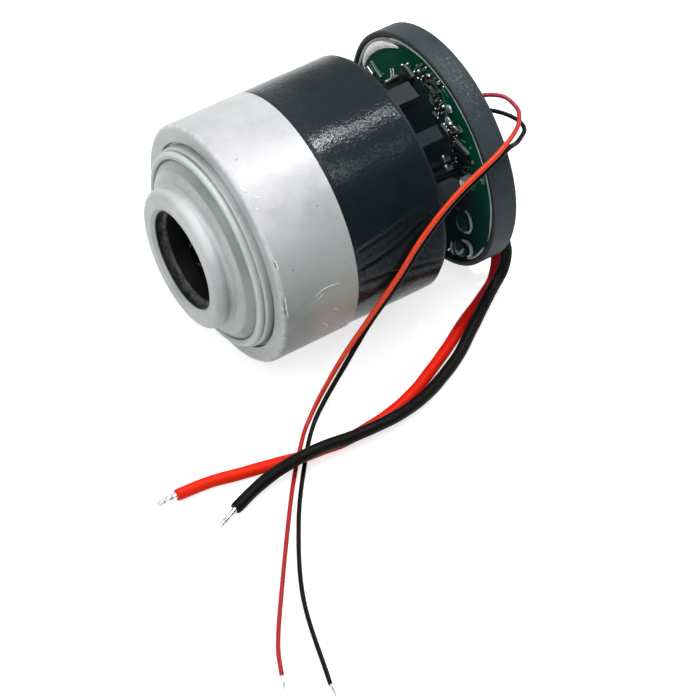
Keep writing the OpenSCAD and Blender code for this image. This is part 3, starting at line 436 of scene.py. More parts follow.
# The bare end: strands as helices round the core's line, and a sheath of solder that fills their twist
# and narrows to a rounded end.
def buildTip(name, lead, line):
    steps = 30
    core = np.linspace(line[-1] - 0.15 * (line[-1] - line[-2]), np.array(lead["end"]), steps)
    share = np.linspace(0, 1, steps)
    way = (core[-1] - core[0]) / np.linalg.norm(core[-1] - core[0])
    side = np.cross(way, (0, 0, 1))
    side /= np.linalg.norm(side)
    lift = np.cross(side, way)
    guide = side + 0.3 * lift
    strandRadius = lead["core"] * 0.42
    shapes = []
    for k in range(lead["strands"]):
        turn = 2 * math.pi * k / (lead["strands"] - 1) + 3.2 * share[:, None]
        reach = (lead["core"] - strandRadius if k else 0) * (1 - 0.25 * share[:, None] ** 2)
        strand = core + reach * (np.cos(turn) * side + np.sin(turn) * lift)
        strand = strand[:steps - (k * 5) % 4]  # strands are cut at uneven lengths
        thickness = np.full(len(strand), strandRadius)
        thickness[-1] *= 0.6
        shapes.append(tubeShape(strand, thickness, 8, guide))
    roundEnd = np.sqrt(np.clip(1 - ((share - 0.86) / 0.14).clip(0) ** 2, 0.05, 1))
    sheath = lead["core"] * lead["solder"] * (1 - 0.22 * share) * roundEnd
    shapes.append(tubeShape(core, sheath, 16, guide))
    return newPiece(name + "Tip", shapes, [leadFinishes["strand"]], lead["tip"])


def buildLeads():
    for name, lead in leads.items():
        line = splineLine(lead["route"], 9)
        travelled = np.append(0, np.cumsum(np.linalg.norm(np.diff(line, axis=0), axis=1)))
        piece = buildInsulation(name, lead, line, travelled)
        tip = buildTip(name, lead, line)
    print("leads ready")


buildLeads()

# Each crease is its start and end as (station, clock), how far it bows, its depth and its half width.
sleeve = dict(front=19.15, rear=42.3, radius=28.9, wall=0.8, lip=0.3,
    creases=[((20.2, 160.0), (37.5, 153.6), 0.4, 0.3, 0.4), ((19.2, 169.0), (42.0, 155.8), 3.0, 0.5, 0.5),
        ((19.2, 176.5), (42.3, 188.5), -1.2, 0.6, 0.6)],
    dent=dict(station=19, clock=204, reach=6, spread=17, depth=0.55))


# Vacuum-drawn PVC shrink film, blue-black: lighter on top as painted light, with a gloss that fades
# rearwards and is broken into grains where the film wrinkles finely.
def sleeveFilm():
    material, tree, shader, spot = newMaterial("shrinkFilmBlueBlack", IOR=1.53)
    station, _, clock = fromAxis(tree, spot)
    patches = noise(tree, spot, 70, 5, 0.6)
    fine = noise(tree, spot, 1300, 2)
    base = ramp(tree, patches, (0.3, "#11191D"), (0.7, "#1A2429"))
    # painted light: a lighter band along the top
    feed(tree, shader, {"Base Color": blend(tree, bandMask(tree, clock, 0.27, 0.03, 0.07), base, "#232B30")})
    feed(tree, shader, {"Roughness": remap(tree, patches, 0.3, 0.7, 0.13, 0.22)})
    gloss = remap(tree, station, 20.2, 29.2, 0.16, 0.05)
    broken = remap(tree, fine, 0.35, 0.6, 0.45, 1.0)
    feed(tree, shader, {"Specular IOR Level": product(tree, gloss, broken)})
    emboss(tree, shader, (fine, 0.85, 0.07), (noise(tree, spot, 160, 2), 0.35, 0.3))
    return material


# The skin is a cylinder, less its depth at each station and clock: creases are valleys (a bell curve
# across a bowed line) with a low ridge beside them, the dent is a bell curve both ways, and sine waves
# run all round. A quarter-round lip leads to the plain inner wall.
def buildSleeve():
    radius, front, rear, lip = (sleeve[key] for key in ("radius", "front", "rear", "lip"))
    inner = radius - sleeve["wall"]
    clock = np.linspace(0, 360, 480, endpoint=False)
    outer = np.linspace(front, rear - lip, 110)
    arc = np.linspace(0, math.pi / 2, 5)[1:]
    stations = np.concatenate([outer, rear - lip * (1 - np.sin(arc)), [rear, front]])
    radii = np.concatenate([np.full(len(outer), radius), radius - lip * (1 - np.cos(arc)), [inner, inner]])
    skin = np.concatenate([np.ones(len(outer) + len(arc)), [0, 0]])[:, None]
    s, a = np.meshgrid(stations, clock, indexing="ij")
    depth = np.zeros_like(s)
    for (s0, a0), (s1, a1), bow, deep, width in sleeve["creases"]:
        t = np.clip((s - s0) / (s1 - s0), 0, 1)
        across = np.radians(a - a0 - (a1 - a0) * t - bow * 4 * t * (1 - t)) * radius
        fade = smoothStep(s0 - 1, s0 + 2, s) * (1 - smoothStep(s1 - 4, s1 + 0.5, s) * 0.8)
        ridge = 0.45 * np.exp(-((across + 2.1 * width) / (1.7 * width)) ** 2)
        depth += fade * deep * (np.exp(-(across / width) ** 2) - ridge)
    dent = sleeve["dent"]
    along, around = (s - dent["station"]) / dent["reach"], (a - dent["clock"]) / dent["spread"]
    depth += dent["depth"] * np.exp(-along ** 2 - around ** 2)
    depth += 0.1 * (1 - smoothStep(0, 1.2, s - front))  # the film is drawn in beside the boot
    turn = np.radians(a)
    depth += 0.035 * np.sin(5 * turn + s * 0.25) * np.sin(2 * turn + 1) + 0.02 * np.sin(13 * turn + s * 0.5)
    points = onAxis(s, radii[:, None] - skin * np.maximum(depth, -0.12), a)
    newPiece("bodySleeve", [gridShape(points, wrapRows=True)], [sleeveFilm()], "body_sleeve")
    print("sleeve ready")


buildSleeve()

# The board's parts. Chips, switches and the sensor are (radius, clock, turn), and sizes are along, across
# and up. Dots are (radius, clock, dot radius), bars run from one (radius, clock) to another with a width,
# and wires run through (station, radius, clock) points with a radius. These three are only in the scene.
boardParts = dict(
    capacitorSize=(1.6, 0.9, 0.8), largeCapacitorSize=(3.2, 1.6, 1.5), resistorSize=(1.6, 0.8, 0.5),
    sensor=(20.6, 162, 0), sensorBody=(1.8, 2.4, 2.6), sensorCap=(1.4, 1.6, 1.4),
    brightHeight=0.75, paleHeight=0.6, greenHeight=0.12, dotRise=2.4, greenDotRise=0.8,
    capacitors=[(23.2, 85, 90), (25.2, 89, 90), (24.2, 94, 0), (26, 98.4, 90), (25.4, 103, 0),
        (21.4, 101, 90), (19.6, 105, 0), (21.6, 108, 90), (19.2, 111.5, 90), (18.4, 127.5, 0),
        (20.6, 127, 90), (22.6, 130, 0)],
    largeCapacitors=[(24.8, 274 + 8 * i, 90) for i in range(4)],
    resistors=[(21.8, 89, 0), (22, 95.5, 90), (23.4, 105, 0), (18.1, 101, 90), (16.4, 137, 0),
        (20.6, 151, 90), (22.4, 149, 0), (18.9, 156, 90)] + [(24.6, 326 + 5 * i, 0) for i in range(4)],
    switches=[((19.2, 71, 32), (3.4, 3.9, 1.1)), ((20.4, 305, 0), (5, 5.6, 1.1)),
        ((20.4, 350, 0), (5, 5.6, 1.1)), ((19.5, 328, 0), (5, 5.2, 1.1)), ((22, 250, 0), (5, 5.2, 1.1)),
        ((19.6, 144, 36), (4.6, 3.0, 1.1))],
    dots=[(23, 74.5, 0.32), (21.8, 67.5, 0.3), (22.0, 80.8, 0.28), (23.6, 86.1, 0.38), (21.1, 84.8, 0.3),
        (21.6, 88.6, 0.28), (22.9, 89.6, 0.24), (26.3, 91.9, 0.24), (25.3, 95.7, 0.36), (23.9, 93.8, 0.26),
        (26.7, 103, 0.2), (26.9, 106.9, 0.22), (21.8, 108.3, 0.33), (21.9, 112.1, 0.38),
        (20.3, 108.7, 0.18), (17.8, 106.6, 0.26), (17.8, 111, 0.26), (16.1, 112, 0.24), (20.9, 122.9, 0.48),
        (17.4, 119.9, 0.3), (17.6, 122.6, 0.24), (17.8, 125.3, 0.24), (18.1, 127.9, 0.2),
        (21.4, 126.2, 0.32), (22.3, 130, 0.32), (19.9, 127.8, 0.13), (21.8, 127.7, 0.13),
        (18.6, 131.4, 0.17), (20.2, 131.5, 0.17), (19.1, 133.1, 0.16), (17.6, 134.8, 0.14),
        (16.3, 147.6, 0.32), (15.5, 151.6, 0.18), (13.1, 150.8, 0.15), (25.4, 240.5, 0.36),
        (24.9, 157.6, 0.2)],
    greenDots=[(22.4, 75.7, 0.22), (24, 82.8, 0.34), (25.5, 87.2, 0.3), (24, 140.3, 0.3),
        (22.8, 148.5, 0.32), (19.5, 155.6, 0.22), (16.8, 156.2, 0.18), (15, 142.5, 0.32),
        (16.2, 205.9, 0.32), (19.8, 34, 0.3), (19.2, 146, 0.18), (18.3, 151.5, 0.2)],
    brightBars=[((24.1, 96.8), (25.0, 101.4), 0.7), ((20.7, 91.4), (23.1, 94.8), 0.42),
        ((25.9, 97.7), (26.2, 100.7), 0.34), ((21.5, 99.8), (23.4, 104.4), 0.36),
        ((24.8, 19), (22.5, 18.5), 0.5), ((24, 23.6), (21.8, 24.1), 0.6), ((21.3, 165), (20.9, 168.6), 0.6),
        ((25.7, 155.6), (26.1, 159.5), 0.5)],
    paleBars=[((21.6, 93.4), (21.9, 98.6), 0.3), ((20, 98.4), (17.9, 102.3), 0.28),
        ((16.0, 105.6), (16.1, 111), 0.3), ((16.1, 117.9), (17.4, 129.9), 0.5),
        ((19.2, 134.6), (22.6, 143.6), 0.55), ((22.0, 70), (20.2, 78.9), 0.55),
        ((13.6, 154.6), (14.7, 156.6), 0.25), ((24.1, 29.4), (19.5, 30.8), 0.3),
        ((21.4, 125.8), (22.3, 130.4), 0.3)],
    greenBars=[((25.5, 106.1), (25.5, 111.8), 0.2), ((21.3, 113.4), (19.8, 118.2), 0.35),
        ((22.9, 126.5), (23.7, 130), 0.2), ((21.3, 134.7), (22.4, 136.9), 0.45),
        ((17.1, 157.7), (18, 160.9), 0.22), ((24.3, 106), (22.4, 114), 0.14)],
    # the third coil's tinned wire ends by the glue, and the pins' cut ends between the tabs
    wireEnds=[([(52.6, 18.1, 54.6), (54.3, 18.3, 54.8), (56, 18.4, 54.9)], 0.4),
        ([(56, 20.2, 48.2), (55.2, 19.2, 51.5), (54.3, 18.4, 55)], 0.22),
        ([(56, 20.1, 51.4), (55.6, 19.4, 53), (55, 18.6, 54.7)], 0.2)],
    pinEnds=[([(50.1, 21.2, 140.2), (50.2, 21.2, 139.5), (50.3, 21.2, 138.8)], 0.46),
        ([(50, 21.2, 146.2), (50.1, 21.2, 145.5), (50.2, 21.2, 144.8)], 0.48)],
    # solder joints as (foot, radius, rise): dark under lacquer on the power leads, dull tin on the thin ones
    powerJoints=[((boardFront, -16.9, 19.2), 2.3, 1.2), ((boardFront, -16.4, 10.8), 2.3, 1.2)],
    signalJoints=[((boardFront, -10.1, 50), 1.1, 0.7), ((boardFront, -9.8, 46.2), 1.1, 0.7)],
    # pale arcs painted as the highlights on the lacquer round the power joints, given as wires are
    paintedHighlightArcs=[
        ([(55.9, 18.6, 195.8), (55.7, 20.3, 195.3), (55.5, 21.6, 197.3), (55.4, 22.3, 200.5),
            (55.4, 22.4, 206), (55.7, 21.5, 212.2)], 0.34),
        ([(55.9, 23, 221), (55.6, 23.7, 215.9), (55.4, 25, 213.5), (55.3, 26.3, 214.7), (55.4, 26.8, 217.8),
            (55.7, 27, 222.5)], 0.42),
        ([(55.2, 24.6, 230), (54.9, 25.6, 226.6), (55.2, 24.9, 222)], 0.36),
        ([(55.8, 23.2, 236), (55.7, 25.2, 238), (55.8, 26.6, 238)], 0.3),
        ([(55.8, 23, 229.5), (55.6, 24.6, 232.6), (55.8, 26.4, 234)], 0.22)])


# A box that stands on the board: its axes are along and across after a turn from the outward way, and
# forwards. It may be moved along and lifted.
def standingBox(spot, size, shift=0.0, lift=0.0, slot=0):
    radius, clock, turn = spot
    clock, turn = np.radians(clock), np.radians(turn)
    out = np.array([0, math.cos(clock), math.sin(clock)])
    around = np.array([0, -math.sin(clock), math.cos(clock)])
    along = math.cos(turn) * out + math.sin(turn) * around
    across = -math.sin(turn) * out + math.cos(turn) * around
    axes = np.array([along, across, (-1, 0, 0)])
    centre = radius * out + (boardFront, 0, axisHeight) + shift * along + (lift + size[2] / 2) * axes[2]
    return centre, axes, np.array(size) / 2, slot


# A chip is a body between two slightly smaller tinned ends.
def chipSolids(places, size):
    length, width, height = size
    end = length * 0.2
    shift = (length - end) / 2
    tin = (end, width - 0.2, height - 0.04)
    solids = []
    for spot in places:
        solids.append(standingBox(spot, (length - 2 * end, width, height)))
        solids += [standingBox(spot, tin, way * shift, slot=1) for way in (-1, 1)]
    return solids


# Low bars that lie on the board, each along the line between its two points.
def barSolids(bars, height):
    solids = []
    for (r0, a0), (r1, a1), width in bars:
        start, end = onAxis(boardFront, r0, a0), onAxis(boardFront, r1, a1)
        length = np.linalg.norm(end - start)
        way = (end - start) / length
        axes = np.array([way, np.cross((-1, 0, 0), way), (-1, 0, 0)])
        centre = (start + end) / 2 + height / 2 * axes[2]
        solids.append((centre, axes, (length / 2, width / 2, height / 2), 0))
    return solids


def boxPiece(name, solids, materials, replaced=None):
    piece = newPiece(name, [boxShape(solids)], materials, replaced, smooth=False)
    slots = np.repeat([solid[3] for solid in solids], 6)
    piece.data.polygons.foreach_set("material_index", slots.astype(np.int32))


def dotShapes(dots, rise):
    return [domeShape(onAxis(boardFront, radius, clock), size, size * rise) for radius, clock, size in dots]


def wireShapes(wires):
    paths = [(splineLine(onAxis(*np.array(points, float).T), 4), radius) for points, radius in wires]
    return [tubeShape(path, radius, 8, (0.3, 0.9, 0.31)) for path, radius in paths]


def buildBoardParts():
    # ceramic and thick-film bodies between tinned ends; the tin is dull white where it was reflowed
    ceramic = mottled("ceramicChipBrown", "#15120F", "#2C251D", 1, 0.2, 0.2, (0.3, 0.45),
        IOR=1.6, Specular_IOR_Level=0.3)
    film = mottled("thickFilmChipBlack", "#08090A", "#121415", 1, 0.2, 0.2, (0.3, 0.45),
        IOR=1.55, Specular_IOR_Level=0.25)
    tin = mottled("dullTin", "#A9B0AE", "#D2D6D4", 0.8, 0.25, 0.5, (0.2, 0.4), Metallic=0.7)
    bright = mottled("brightSolder", "#EEF1F0", "#FEFEFE", 0.8, 0.25, 0.3, (0.12, 0.22), Metallic=0.9)
    green = mottled("maskedLand", "#4E7F71", "#6FA091", 0.8, 0.25, 0.3, (0.3, 0.45), IOR=1.5)
    pale = mottled("tinnedLegs", "#8A9493", "#AEB6B4", 1, 0.3, 0.4, (0.25, 0.4), Metallic=0.4)
    cream = mottled("mouldedNylonCream", "#D5D1BC", "#ECE9DA", 1.5, 0.3, 0.3, (0.35, 0.5), IOR=1.53)
    epoxy = mottled("epoxyPackageGreenBlack", "#0B1314", "#131E1F", 2, 0.2, 0.4, (0.4, 0.55),
        IOR=1.55, Specular_IOR_Level=0.2)
    coat = mottled("lacqueredSolderDark", "#1A3A3B", "#26504E", 1.5, 0.4, 0.2, (0.3, 0.4),
        IOR=1.5, Specular_IOR_Level=0.04)
    # pale paint for the arcs that are painted highlights on the lacquer
    highlightPaint = mottled("paintedHighlightPale", "#8B9B9A", "#B4C0BE", 1.2, 0.4, 0.3, (0.2, 0.35), IOR=1.5)

    parts = boardParts
    small = chipSolids(parts["capacitors"], parts["capacitorSize"])
    large = chipSolids(parts["largeCapacitors"], parts["largeCapacitorSize"])
    boxPiece("chipCapacitors", small + large, [ceramic, tin], "chip_capacitors")
    resistors = chipSolids(parts["resistors"], parts["resistorSize"])
    boxPiece("chipResistors", resistors, [film, tin], "chip_resistors")
    switches = [standingBox(*switch) for switch in parts["switches"]]
    boxPiece("powerSwitches", switches, [epoxy], "power_switches")
    # the sensor is a pale body with a cream cap at its front
    body = standingBox(parts["sensor"], parts["sensorBody"])
    cap = standingBox(parts["sensor"], parts["sensorCap"], lift=parts["sensorBody"][2], slot=1)
    boxPiece("sensorOnBoard", [body, cap], [pale, cream], "temperature_sensor")
    for name, material in (("bright", bright), ("pale", pale), ("green", green)):
        boxPiece(name + "Bars", barSolids(parts[name + "Bars"], parts[name + "Height"]), [material])
    newPiece("solderDots", dotShapes(parts["dots"], parts["dotRise"]), [bright])
    newPiece("maskedDots", dotShapes(parts["greenDots"], parts["greenDotRise"]), [green])
    newPiece("tinnedWireEnds", wireShapes(parts["wireEnds"]), [tin])
    newPiece("pinEnds", wireShapes(parts["pinEnds"]), [bright])
    power = [domeShape(*joint, 7, 24) for joint in parts["powerJoints"]]
    newPiece("coatedJoints", power, [coat], "lead_solder_joints")
    signal = [domeShape(*joint, 6, 16) for joint in parts["signalJoints"]]
    newPiece("signalJoints", signal, [tin], "lead_solder_joints")
    newPiece("paintedHighlightArcs", wireShapes(parts["paintedHighlightArcs"]), [highlightPaint])
    print("board parts ready")


buildBoardParts()

# Beads along the board's edge, each from one clock angle to another.
rim = dict(
    crescent=dict(clocks=(16.0, 66.0), radius=25.7, halfWidth=1.2, height=1.0),
    clear=dict(clocks=(10.0, 72.0), radius=27.2, halfWidth=0.85, height=0.45),
    line=dict(clocks=((46, 196), (203, 226)), radius=27.55, halfWidth=0.33, height=0.32))


# A bead along the board, closed at both ends, that swells and bows from its radius along the way. Its
# section at each clock angle is half round above the board and almost flat under it.
def beadShape(bead, clock, swell, bow):
    turn = np.linspace(0, 2 * math.pi, 14, endpoint=False)[None, :]
    across = (bead["radius"] + bow)[:, None] + bead["halfWidth"] * swell[:, None] * np.cos(turn)
    height = bead["height"] * swell[:, None]
    rise = np.where(np.sin(turn) > 0, height * np.sin(turn), 0.05 * np.sin(turn))
    points = onAxis(boardFront - rise, across, clock[:, None])
    return gridShape(points[:, ::-1], poles=points[[0, -1]].mean(1))


def buildRim():
    # a glue bead painted white as the broad highlight on its wet surface; clear glue outside it; a pale bead
    # of lacquer along the ring
    white = mottled("glueBeadPaintedHighlight", "#DDE2E0", "#FDFDFD", 3, 0.6, 0.2, (0.08, 0.2),
        IOR=1.41, Specular_IOR_Level=0.6)
    clear = mottled("clearGlueBrownish", "#1D211E", "#3E443F", 3, 0.6, 0.2, (0.06, 0.15),
        IOR=1.45, Specular_IOR_Level=0.5)
    lacquer = mottled("lacquerBeadPale", "#98A6A0", "#B9C3BE", 4, 0.5, 0.2, (0.15, 0.3), IOR=1.5)
    clock = np.linspace(*rim["crescent"]["clocks"], 60)
    swell = np.maximum(np.sin(math.pi * np.linspace(0, 1, 60)), 0.04) ** 0.55  # thin at both ends
    newPiece("glueCrescent", [beadShape(rim["crescent"], clock, swell, 0.35 * swell)], [white], "rim_glue")
    clock = np.linspace(*rim["clear"]["clocks"], 70)
    swell = np.maximum(np.sin(math.pi * np.linspace(0, 1, 70)), 0.05) ** 0.4
    newPiece("clearGlueRim", [beadShape(rim["clear"], clock, swell, 0 * clock)], [clear])
    for clocks in rim["line"]["clocks"]:
        clock = np.linspace(*clocks, 160)
        share = np.linspace(0, 1, 160)
        swell = np.minimum(1, 8 * np.minimum(share, 1 - share) + 0.2)
        bead = beadShape(rim["line"], clock, swell, 0.05 * np.sin(clock * 0.3))
        newPiece("lacquerLine", [bead], [lacquer])
    print("rim ready")


buildRim()

# Marks on the boot, each through (station, clock) points with a half width.
scuffs = dict(
    pale=[([(7.9, 172.1), (9.7, 170.3), (11.8, 170), (14.4, 170.8)], 0.13),
        ([(8.4, 174.5), (9.6, 173), (10.4, 172.6)], 0.09),
        ([(0.4, 111.8), (0.9, 113.6), (1.3, 115.4)], 0.3),
        ([(2.1, 117.7), (2.7, 118.9), (3.4, 119.6)], 0.16), ([(1.4, 123), (1.6, 124.6)], 0.14),
        ([(0.6, 146.8), (0.75, 149.5), (0.7, 151.5)], 0.2), ([(0.7, 165), (0.6, 171), (0.8, 177)], 0.14),
        ([(9.4, 190.6), (10.6, 193.2), (12.4, 199)], 0.1), ([(12.6, 184.5), (13.8, 186.5)], 0.1)],
    dark=[([(0.35, 147.6), (0.5, 150.2)], 0.12), ([(0.3, 167), (0.25, 171), (0.35, 175.6)], 0.14),
        ([(3.8, 154.3), (4.1, 154.5)], 0.16), ([(16.2, 161.4), (16.5, 161.6)], 0.12),
        ([(13.2, 141), (13.4, 141.2)], 0.1), ([(12, 196.8), (12.2, 197)], 0.16)])


# Each mark is a flat tube along its points on the boot's wall, with a wavy width that narrows at its
# ends. It sinks with the wall's rounded front edge, by a quarter circle of the edge's radius.
def buildScuffs():
    pale = mottled("rubbedRubberPale", "#D8DDDC", "#EEF1F0", 1, 0.2, 0.3, (0.4, 0.6), IOR=1.43)
    dark = mottled("grimeDark", "#4C504E", "#6A6E6B", 1, 0.2, 0.3, (0.6, 0.8),
        IOR=1.43, Specular_IOR_Level=0.2)
    edgeRadius, edgeStart = 1.2, 0.9
    for name, material in (("pale", pale), ("dark", dark)):
        shapes = []
        for points, halfWidth in scuffs[name]:
            line = splineLine([(s, a, 0) for s, a in points], 5)
            share = np.linspace(0, 1, len(line))
            ends = np.minimum(1, 4 * np.minimum(share, 1 - share) + 0.3)
            wave = 1 + 0.35 * np.sin(np.arange(len(line)) * 1.9 + len(shapes))
            ahead = np.clip(edgeStart - line[:, 0], 0, edgeRadius)
            drop = edgeRadius - np.sqrt(edgeRadius ** 2 - ahead ** 2)
            path = onAxis(line[:, 0], bootRadius - drop, line[:, 1])
            turn = np.radians(line[:, 1]).mean()
            guide = (0, math.cos(turn), math.sin(turn))
            shapes.append(tubeShape(path, halfWidth * ends * wave, 8, guide, 0.25))
        newPiece(name + "Scuffs", shapes, [material])
    print("scuffs ready")


buildScuffs()


# Moulded silicone rubber, pale grey and satin, with painted light and shade: paler on top of the wall and
# the nose as painted light, painted highlights on the bead's two ridges, darker and greener as painted shade
# on the flare and below, and a rubbed front edge whose pale line is also a painted highlight on the rounded
# edge. It has a tan patch and fine specks.
def rubberBoot():
    material, tree, shader, spot = newMaterial("siliconeRubberGrey", IOR=1.43, Specular_IOR_Level=0.7)
    station, radius, clock = fromAxis(tree, spot)
    clouds = noise(tree, spot, 60, 5, 0.62)
    cloudy = remap(tree, clouds, 0.4, 0.6, 0.4, 0.95)
    wall = remap(tree, station, -0.4, 0.0)
    rub = noise(tree, spot, 420, 4, 0.7)
    rubbed = remap(tree, rub, 0.4, 0.65, 0.08, 0.6)
    specks = addNode(tree, "ShaderNodeTexVoronoi", {"Vector": spot, "Scale": 330.0, "Randomness": 1.0})
    speck = remap(tree, specks.outputs["Distance"], 0.06, 0.13, 0.6, 0.0)

    # each stretch is a colour, then the masks whose product says how much of it shows
    stretches = [
        # painted light on top of the wall
        ("#C9C8CC", bandMask(tree, clock, 0.3, 0.05, 0.15), wall, cloudy),
        # painted light on top of the nose
        ("#C6C9CA", bandMask(tree, clock, 0.3, 0.06, 0.12), bandMask(tree, radius, 15.6, 1.4, 0.3), cloudy),
        # painted shade on the lower side of the wall
        ("#7D8885", bandMask(tree, clock, 0.56, 0.07, 0.12), wall, cloudy),
        # painted shade on the flare behind the nose
        ("#78847F", bandMask(tree, station, -2.3, 2, 0.3), bandMask(tree, radius, 18.3, 3.6, 0.2), cloudy),
        # painted highlights on the bead's two ridges
        ("#C3CBC9", bandMask(tree, radius, 23.3, 0.25, 0.25), bandMask(tree, station, -2.9, 0.4, 0.3)),
        ("#BCC5C3", bandMask(tree, radius, 24.1, 0.2, 0.1), bandMask(tree, station, -1.5, 0.3, 0.3)),
        ("#9C978E", bandMask(tree, clock, 0.53, 0.02, 0.06), bandMask(tree, station, 14.2, 4, 5)),
        # rubbed wear and painted highlight along the rounded front edge
        ("#E4E9E8", rubbed, bandMask(tree, station, 0.1, 0.2, 0.5), bandMask(tree, radius, 28.6, 0.4, 0.4)),
        ("#5E6462", speck, calculate(tree, "GREATER_THAN", rub, 0.6))]
    color = ramp(tree, clouds, (0.32, "#959D9B"), (0.66, "#BBBEBF"))
    for hexText, *masks in stretches:
        color = blend(tree, product(tree, *masks), color, hexText)

    # the wall of the intake is dark behind its edge as painted shade, and greyer and speckled towards the
    # metal lip
    boreShade = product(tree, remap(tree, station, -8.7, -7.1), rubbed)
    boreShadeColor = ramp(tree, boreShade, (0.05, "#0A0A0B"), (0.7, "#6A696C"))
    bore = remap(tree, radius, 11.95, 12.15, 1.0, 0.0)
    feed(tree, shader, {"Base Color": blend(tree, bore, color, boreShadeColor)})
    feed(tree, shader, {"Roughness": remap(tree, clouds, 0.3, 0.7, 0.3, 0.46)})
    emboss(tree, shader, (noise(tree, spot, 1500, 3), 0.4, 0.06), (noise(tree, spot, 260, 4), 0.45, 0.4))
    return material


# Vulcanised rubber, charcoal and matte, with pale dust over the upper stretch of its outer face, and its
# front face painted near black as shade.
def dustyRing():
    material, tree, shader, spot = newMaterial("vulcanisedRubberCharcoal",
        IOR=1.52, Roughness=0.62, Specular_IOR_Level=0.22)
    station, _, clock = fromAxis(tree, spot)
    color = ramp(tree, noise(tree, spot, 120, 3), (0.3, "#232C31"), (0.7, "#313C42"))
    grains = noise(tree, spot, 1500, 3, 0.7)
    upper = product(tree, bandMask(tree, clock, 0.3, 0.02, 0.04), bandMask(tree, station, 58.7, 0.8, 2.2))
    color = blend(tree, product(tree, remap(tree, grains, 0.5, 0.66, 0.0, 0.3), upper), color, "#8B9190")
    color = blend(tree, remap(tree, grains, 0.64, 0.72, 0.0, 0.4), color, "#6E7678")
    # painted shade: the front face is near black
    lip = remap(tree, station, 55.55, 55.8, 1.0, 0.0)
    feed(tree, shader, {"Base Color": blend(tree, lip, color, "#06090A")})
    emboss(tree, shader, (grains, 0.6, 0.06))
    return material


# Pressed steel, dull and speckled at the lip that shows in the intake, and near black behind it as painted
# shade deep in the intake.
def shroudMetal():
    material, tree, shader, spot = newMaterial("pressedSteelShadeInside",
        IOR=1.5, Roughness=0.55, Specular_IOR_Level=0.15)
    station = fromAxis(tree, spot)[0]
    grain = noise(tree, spot, 900, 4, 0.7)
    color = ramp(tree, grain, (0.35, "#3E3C3E"), (0.65, "#7C7A7C"))
    feed(tree, shader, {"Base Color": blend(tree, remap(tree, station, -6.6, -6.2), color, "#08090A")})
    feed(tree, shader, {"Metallic": remap(tree, station, -6.6, -6.2, 0.7, 0.0)})
    emboss(tree, shader, (grain, 0.5, 0.05))
    return material


# Ground steel, near black at the front end that carries the impeller, as painted shade in the intake.
def shaftSteel():
    material, tree, shader, spot = newMaterial("groundSteelShadedFront", Roughness=0.28)
    bare = remap(tree, fromAxis(tree, spot)[0], 3.7, 4.0)
    color = blend(tree, bare, "#050506", "#C4C7C9")
    feed(tree, shader, {"Base Color": color, "Metallic": bare, "Specular IOR Level": bare})
    return material


# Coil pins painted dark as shade between the tabs, bare bright tin where they were cut and soldered.
def pinMetal():
    material, tree, shader, spot = newMaterial("pinsPaintedShade", Roughness=0.3)
    bare = bandMask(tree, fromAxis(tree, spot)[0], 52.2, 0.6, 0.3)
    feed(tree, shader, {"Base Color": blend(tree, bare, "#151F25", "#D8DAD8"), "Metallic": bare})
    return material


# Glass-epoxy board under green solder mask, with painted light and shade: a grey middle as painted shade,
# paler high up as painted light and blue-green low down as painted shade, with a few faint tracks.
def boardMask():
    material, tree, shader, spot = newMaterial("solderMaskGreen",
        IOR=1.5, Roughness=0.35, Specular_IOR_Level=0.0)
    _, radius, clock = fromAxis(tree, spot)
    wander = calculate(tree, "MULTIPLY_ADD", noise(tree, spot, 150, 3), 5.0, -2.5)
    # painted light high up, which also narrows the painted shade of the middle on that side
    high = bandMask(tree, clock, 0.1, 0.05, 0.06)
    color = blend(tree, high, "#0E4C3B", "#27634F")
    # painted shade low down
    color = blend(tree, bandMask(tree, clock, 0.62, 0.1, 0.06), color, "#1C4243")
    cells = addNode(tree, "ShaderNodeTexVoronoi", {"Vector": spot, "Scale": 200.0, "Randomness": 0.5},
        distance="CHEBYCHEV", feature="DISTANCE_TO_EDGE")
    tracks = calculate(tree, "LESS_THAN", cells.outputs["Distance"], 0.02)
    color = blend(tree, calculate(tree, "MULTIPLY", tracks, 0.2), color, "#1B5E4B")
    # painted shade over the middle
    reach = calculate(tree, "ADD", radius, calculate(tree, "MULTIPLY_ADD", high, 4.5, wander))
    middle = remap(tree, reach, 19.5, 21.2, 1.0, 0.0)
    feed(tree, shader, {"Base Color": blend(tree, middle, color, "#35464D")})
    emboss(tree, shader, (tracks, 0.2, 0.04))
    return material


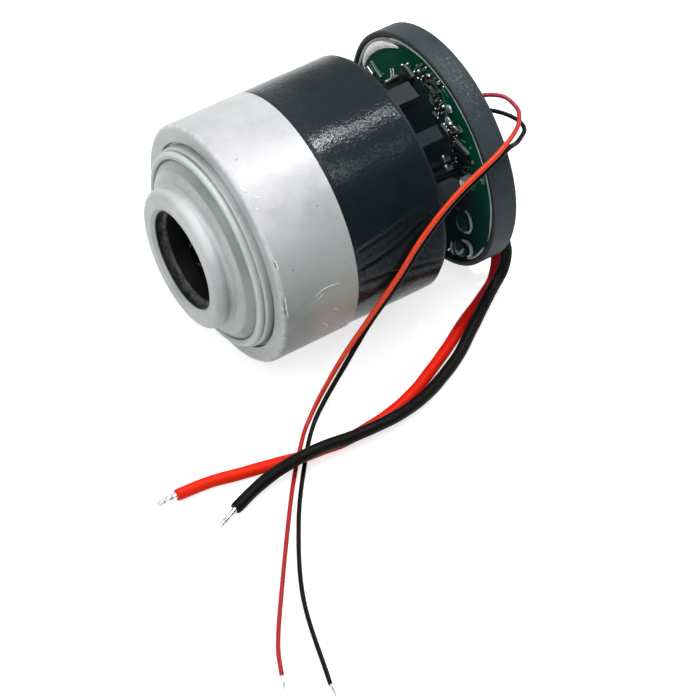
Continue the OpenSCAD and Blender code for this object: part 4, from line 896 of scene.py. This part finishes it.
# The CAD nodes that stay as they are get a material each, and some share one.
finishes = {
    "intake_boot": rubberBoot(),
    "circuit_board": boardMask(),
    "driver_chip": mottled("epoxyPackageBlack", "#0B0D0E", "#14171A", 2, 0.2, 0.4, (0.4, 0.55),
        IOR=1.55, Specular_IOR_Level=0.25),
    "board_ring": dustyRing(),
    "fan_shroud": shroudMetal(),
    "phase_pins": pinMetal(),
    # glass-filled nylon: moulded, fine spark-eroded grain
    "motor_frame": mottled("glassFilledNylonBlack", "#182024", "#242C31", 5, 0.3, 0.4, (0.42, 0.6), 0.04,
        IOR=1.53, Specular_IOR_Level=0.12),
    "bearing_bridge": mottled("glassFilledNylonGrey", "#0D1012", "#15181A", 5, 0.3, 0.4, (0.45, 0.62), 0.04,
        IOR=1.53, Specular_IOR_Level=0.25),
    "diffuser": mottled("glassFilledNylonDark", "#101315", "#1A1D1F", 5, 0.3, 0.4, (0.45, 0.62), 0.04,
        IOR=1.53, Specular_IOR_Level=0.25),
    # carbon-filled nylon, moulded black, and black-oxide steel for the nut: both near black as painted shade
    # deep in the intake
    "impeller": mottled("carbonNylonPaintedShade", "#050607", "#0A0B0C", 4, 0.3, 0.3, (0.5, 0.6),
        IOR=1.53, Specular_IOR_Level=0.06),
    "impeller_nut": mottled("blackOxideSteelAndShade", "#050506", "#090A0B", 3, 0.3, 0.3, (0.5, 0.6),
        IOR=1.5, Specular_IOR_Level=0.05),
    "shaft": shaftSteel(),
    "rotor_spacer": mottled("turnedSteel", "#A5A8AA", "#B9BCBE", 4, 0.2, 0.3, (0.3, 0.42), Metallic=1.0),
    "rotor_magnet": mottled("nickelPlatedMagnet", "#6A6D70", "#7C7F82", 4, 0.3, 0.2, (0.25, 0.4),
        Metallic=1.0),
    "balance_ring_front": mottled("turnedBrass", "#B08D4A", "#C49F58", 4, 0.2, 0.3, (0.28, 0.4),
        Metallic=1.0),
    "stator_core": mottled("siliconSteelStack", "#5F6468", "#757A7E", 2, 0.3, 0.5, (0.4, 0.55),
        Metallic=1.0),
    "front_insulator": mottled("mouldedNylonIvory", "#D8D0B8", "#E6DFCB", 5, 0.4, 0.3, (0.45, 0.6),
        IOR=1.53),
    "stator_windings": mottled("enamelledCopper", "#8A4316", "#C46A30", 1.2, 0.35, 0.8, (0.25, 0.4), 0.12,
        Metallic=0.9),
    "preload_washer": mottled("springSteel", "#8F9496", "#A3A8AA", 3, 0.2, 0.3, (0.3, 0.4), Metallic=1.0),
    "bearing_steel": mottled("bearingSteel", "#B4B8BA", "#CDD0D2", 3, 0.2, 0.15, (0.12, 0.25), Metallic=1.0),
    "cage": mottled("phenolicCage", "#7A5A30", "#8E6C3E", 2, 0.2, 0.3, (0.45, 0.6), IOR=1.55),
}
sameFinish = {
    "balance_ring_rear": "balance_ring_front", "rear_insulator": "front_insulator",
    "bridge_screws": "impeller_nut", "board_screws": "impeller_nut", "hall_sensor": "driver_chip",
    "front_bearing_cage": "cage", "rear_bearing_cage": "cage",
}
for bearing in ("front_bearing_", "rear_bearing_"):
    sameFinish.update({bearing + part: "bearing_steel" for part in ("outer", "inner", "balls")})
for nodeName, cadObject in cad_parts.items():
    finish = finishes.get(sameFinish.get(nodeName, nodeName))
    if finish:
        cadObject.data.materials.clear()
        cadObject.data.materials.append(finish)
    elif not cadObject.hide_render:
        print("no finish for", nodeName)
print("finishes ready")
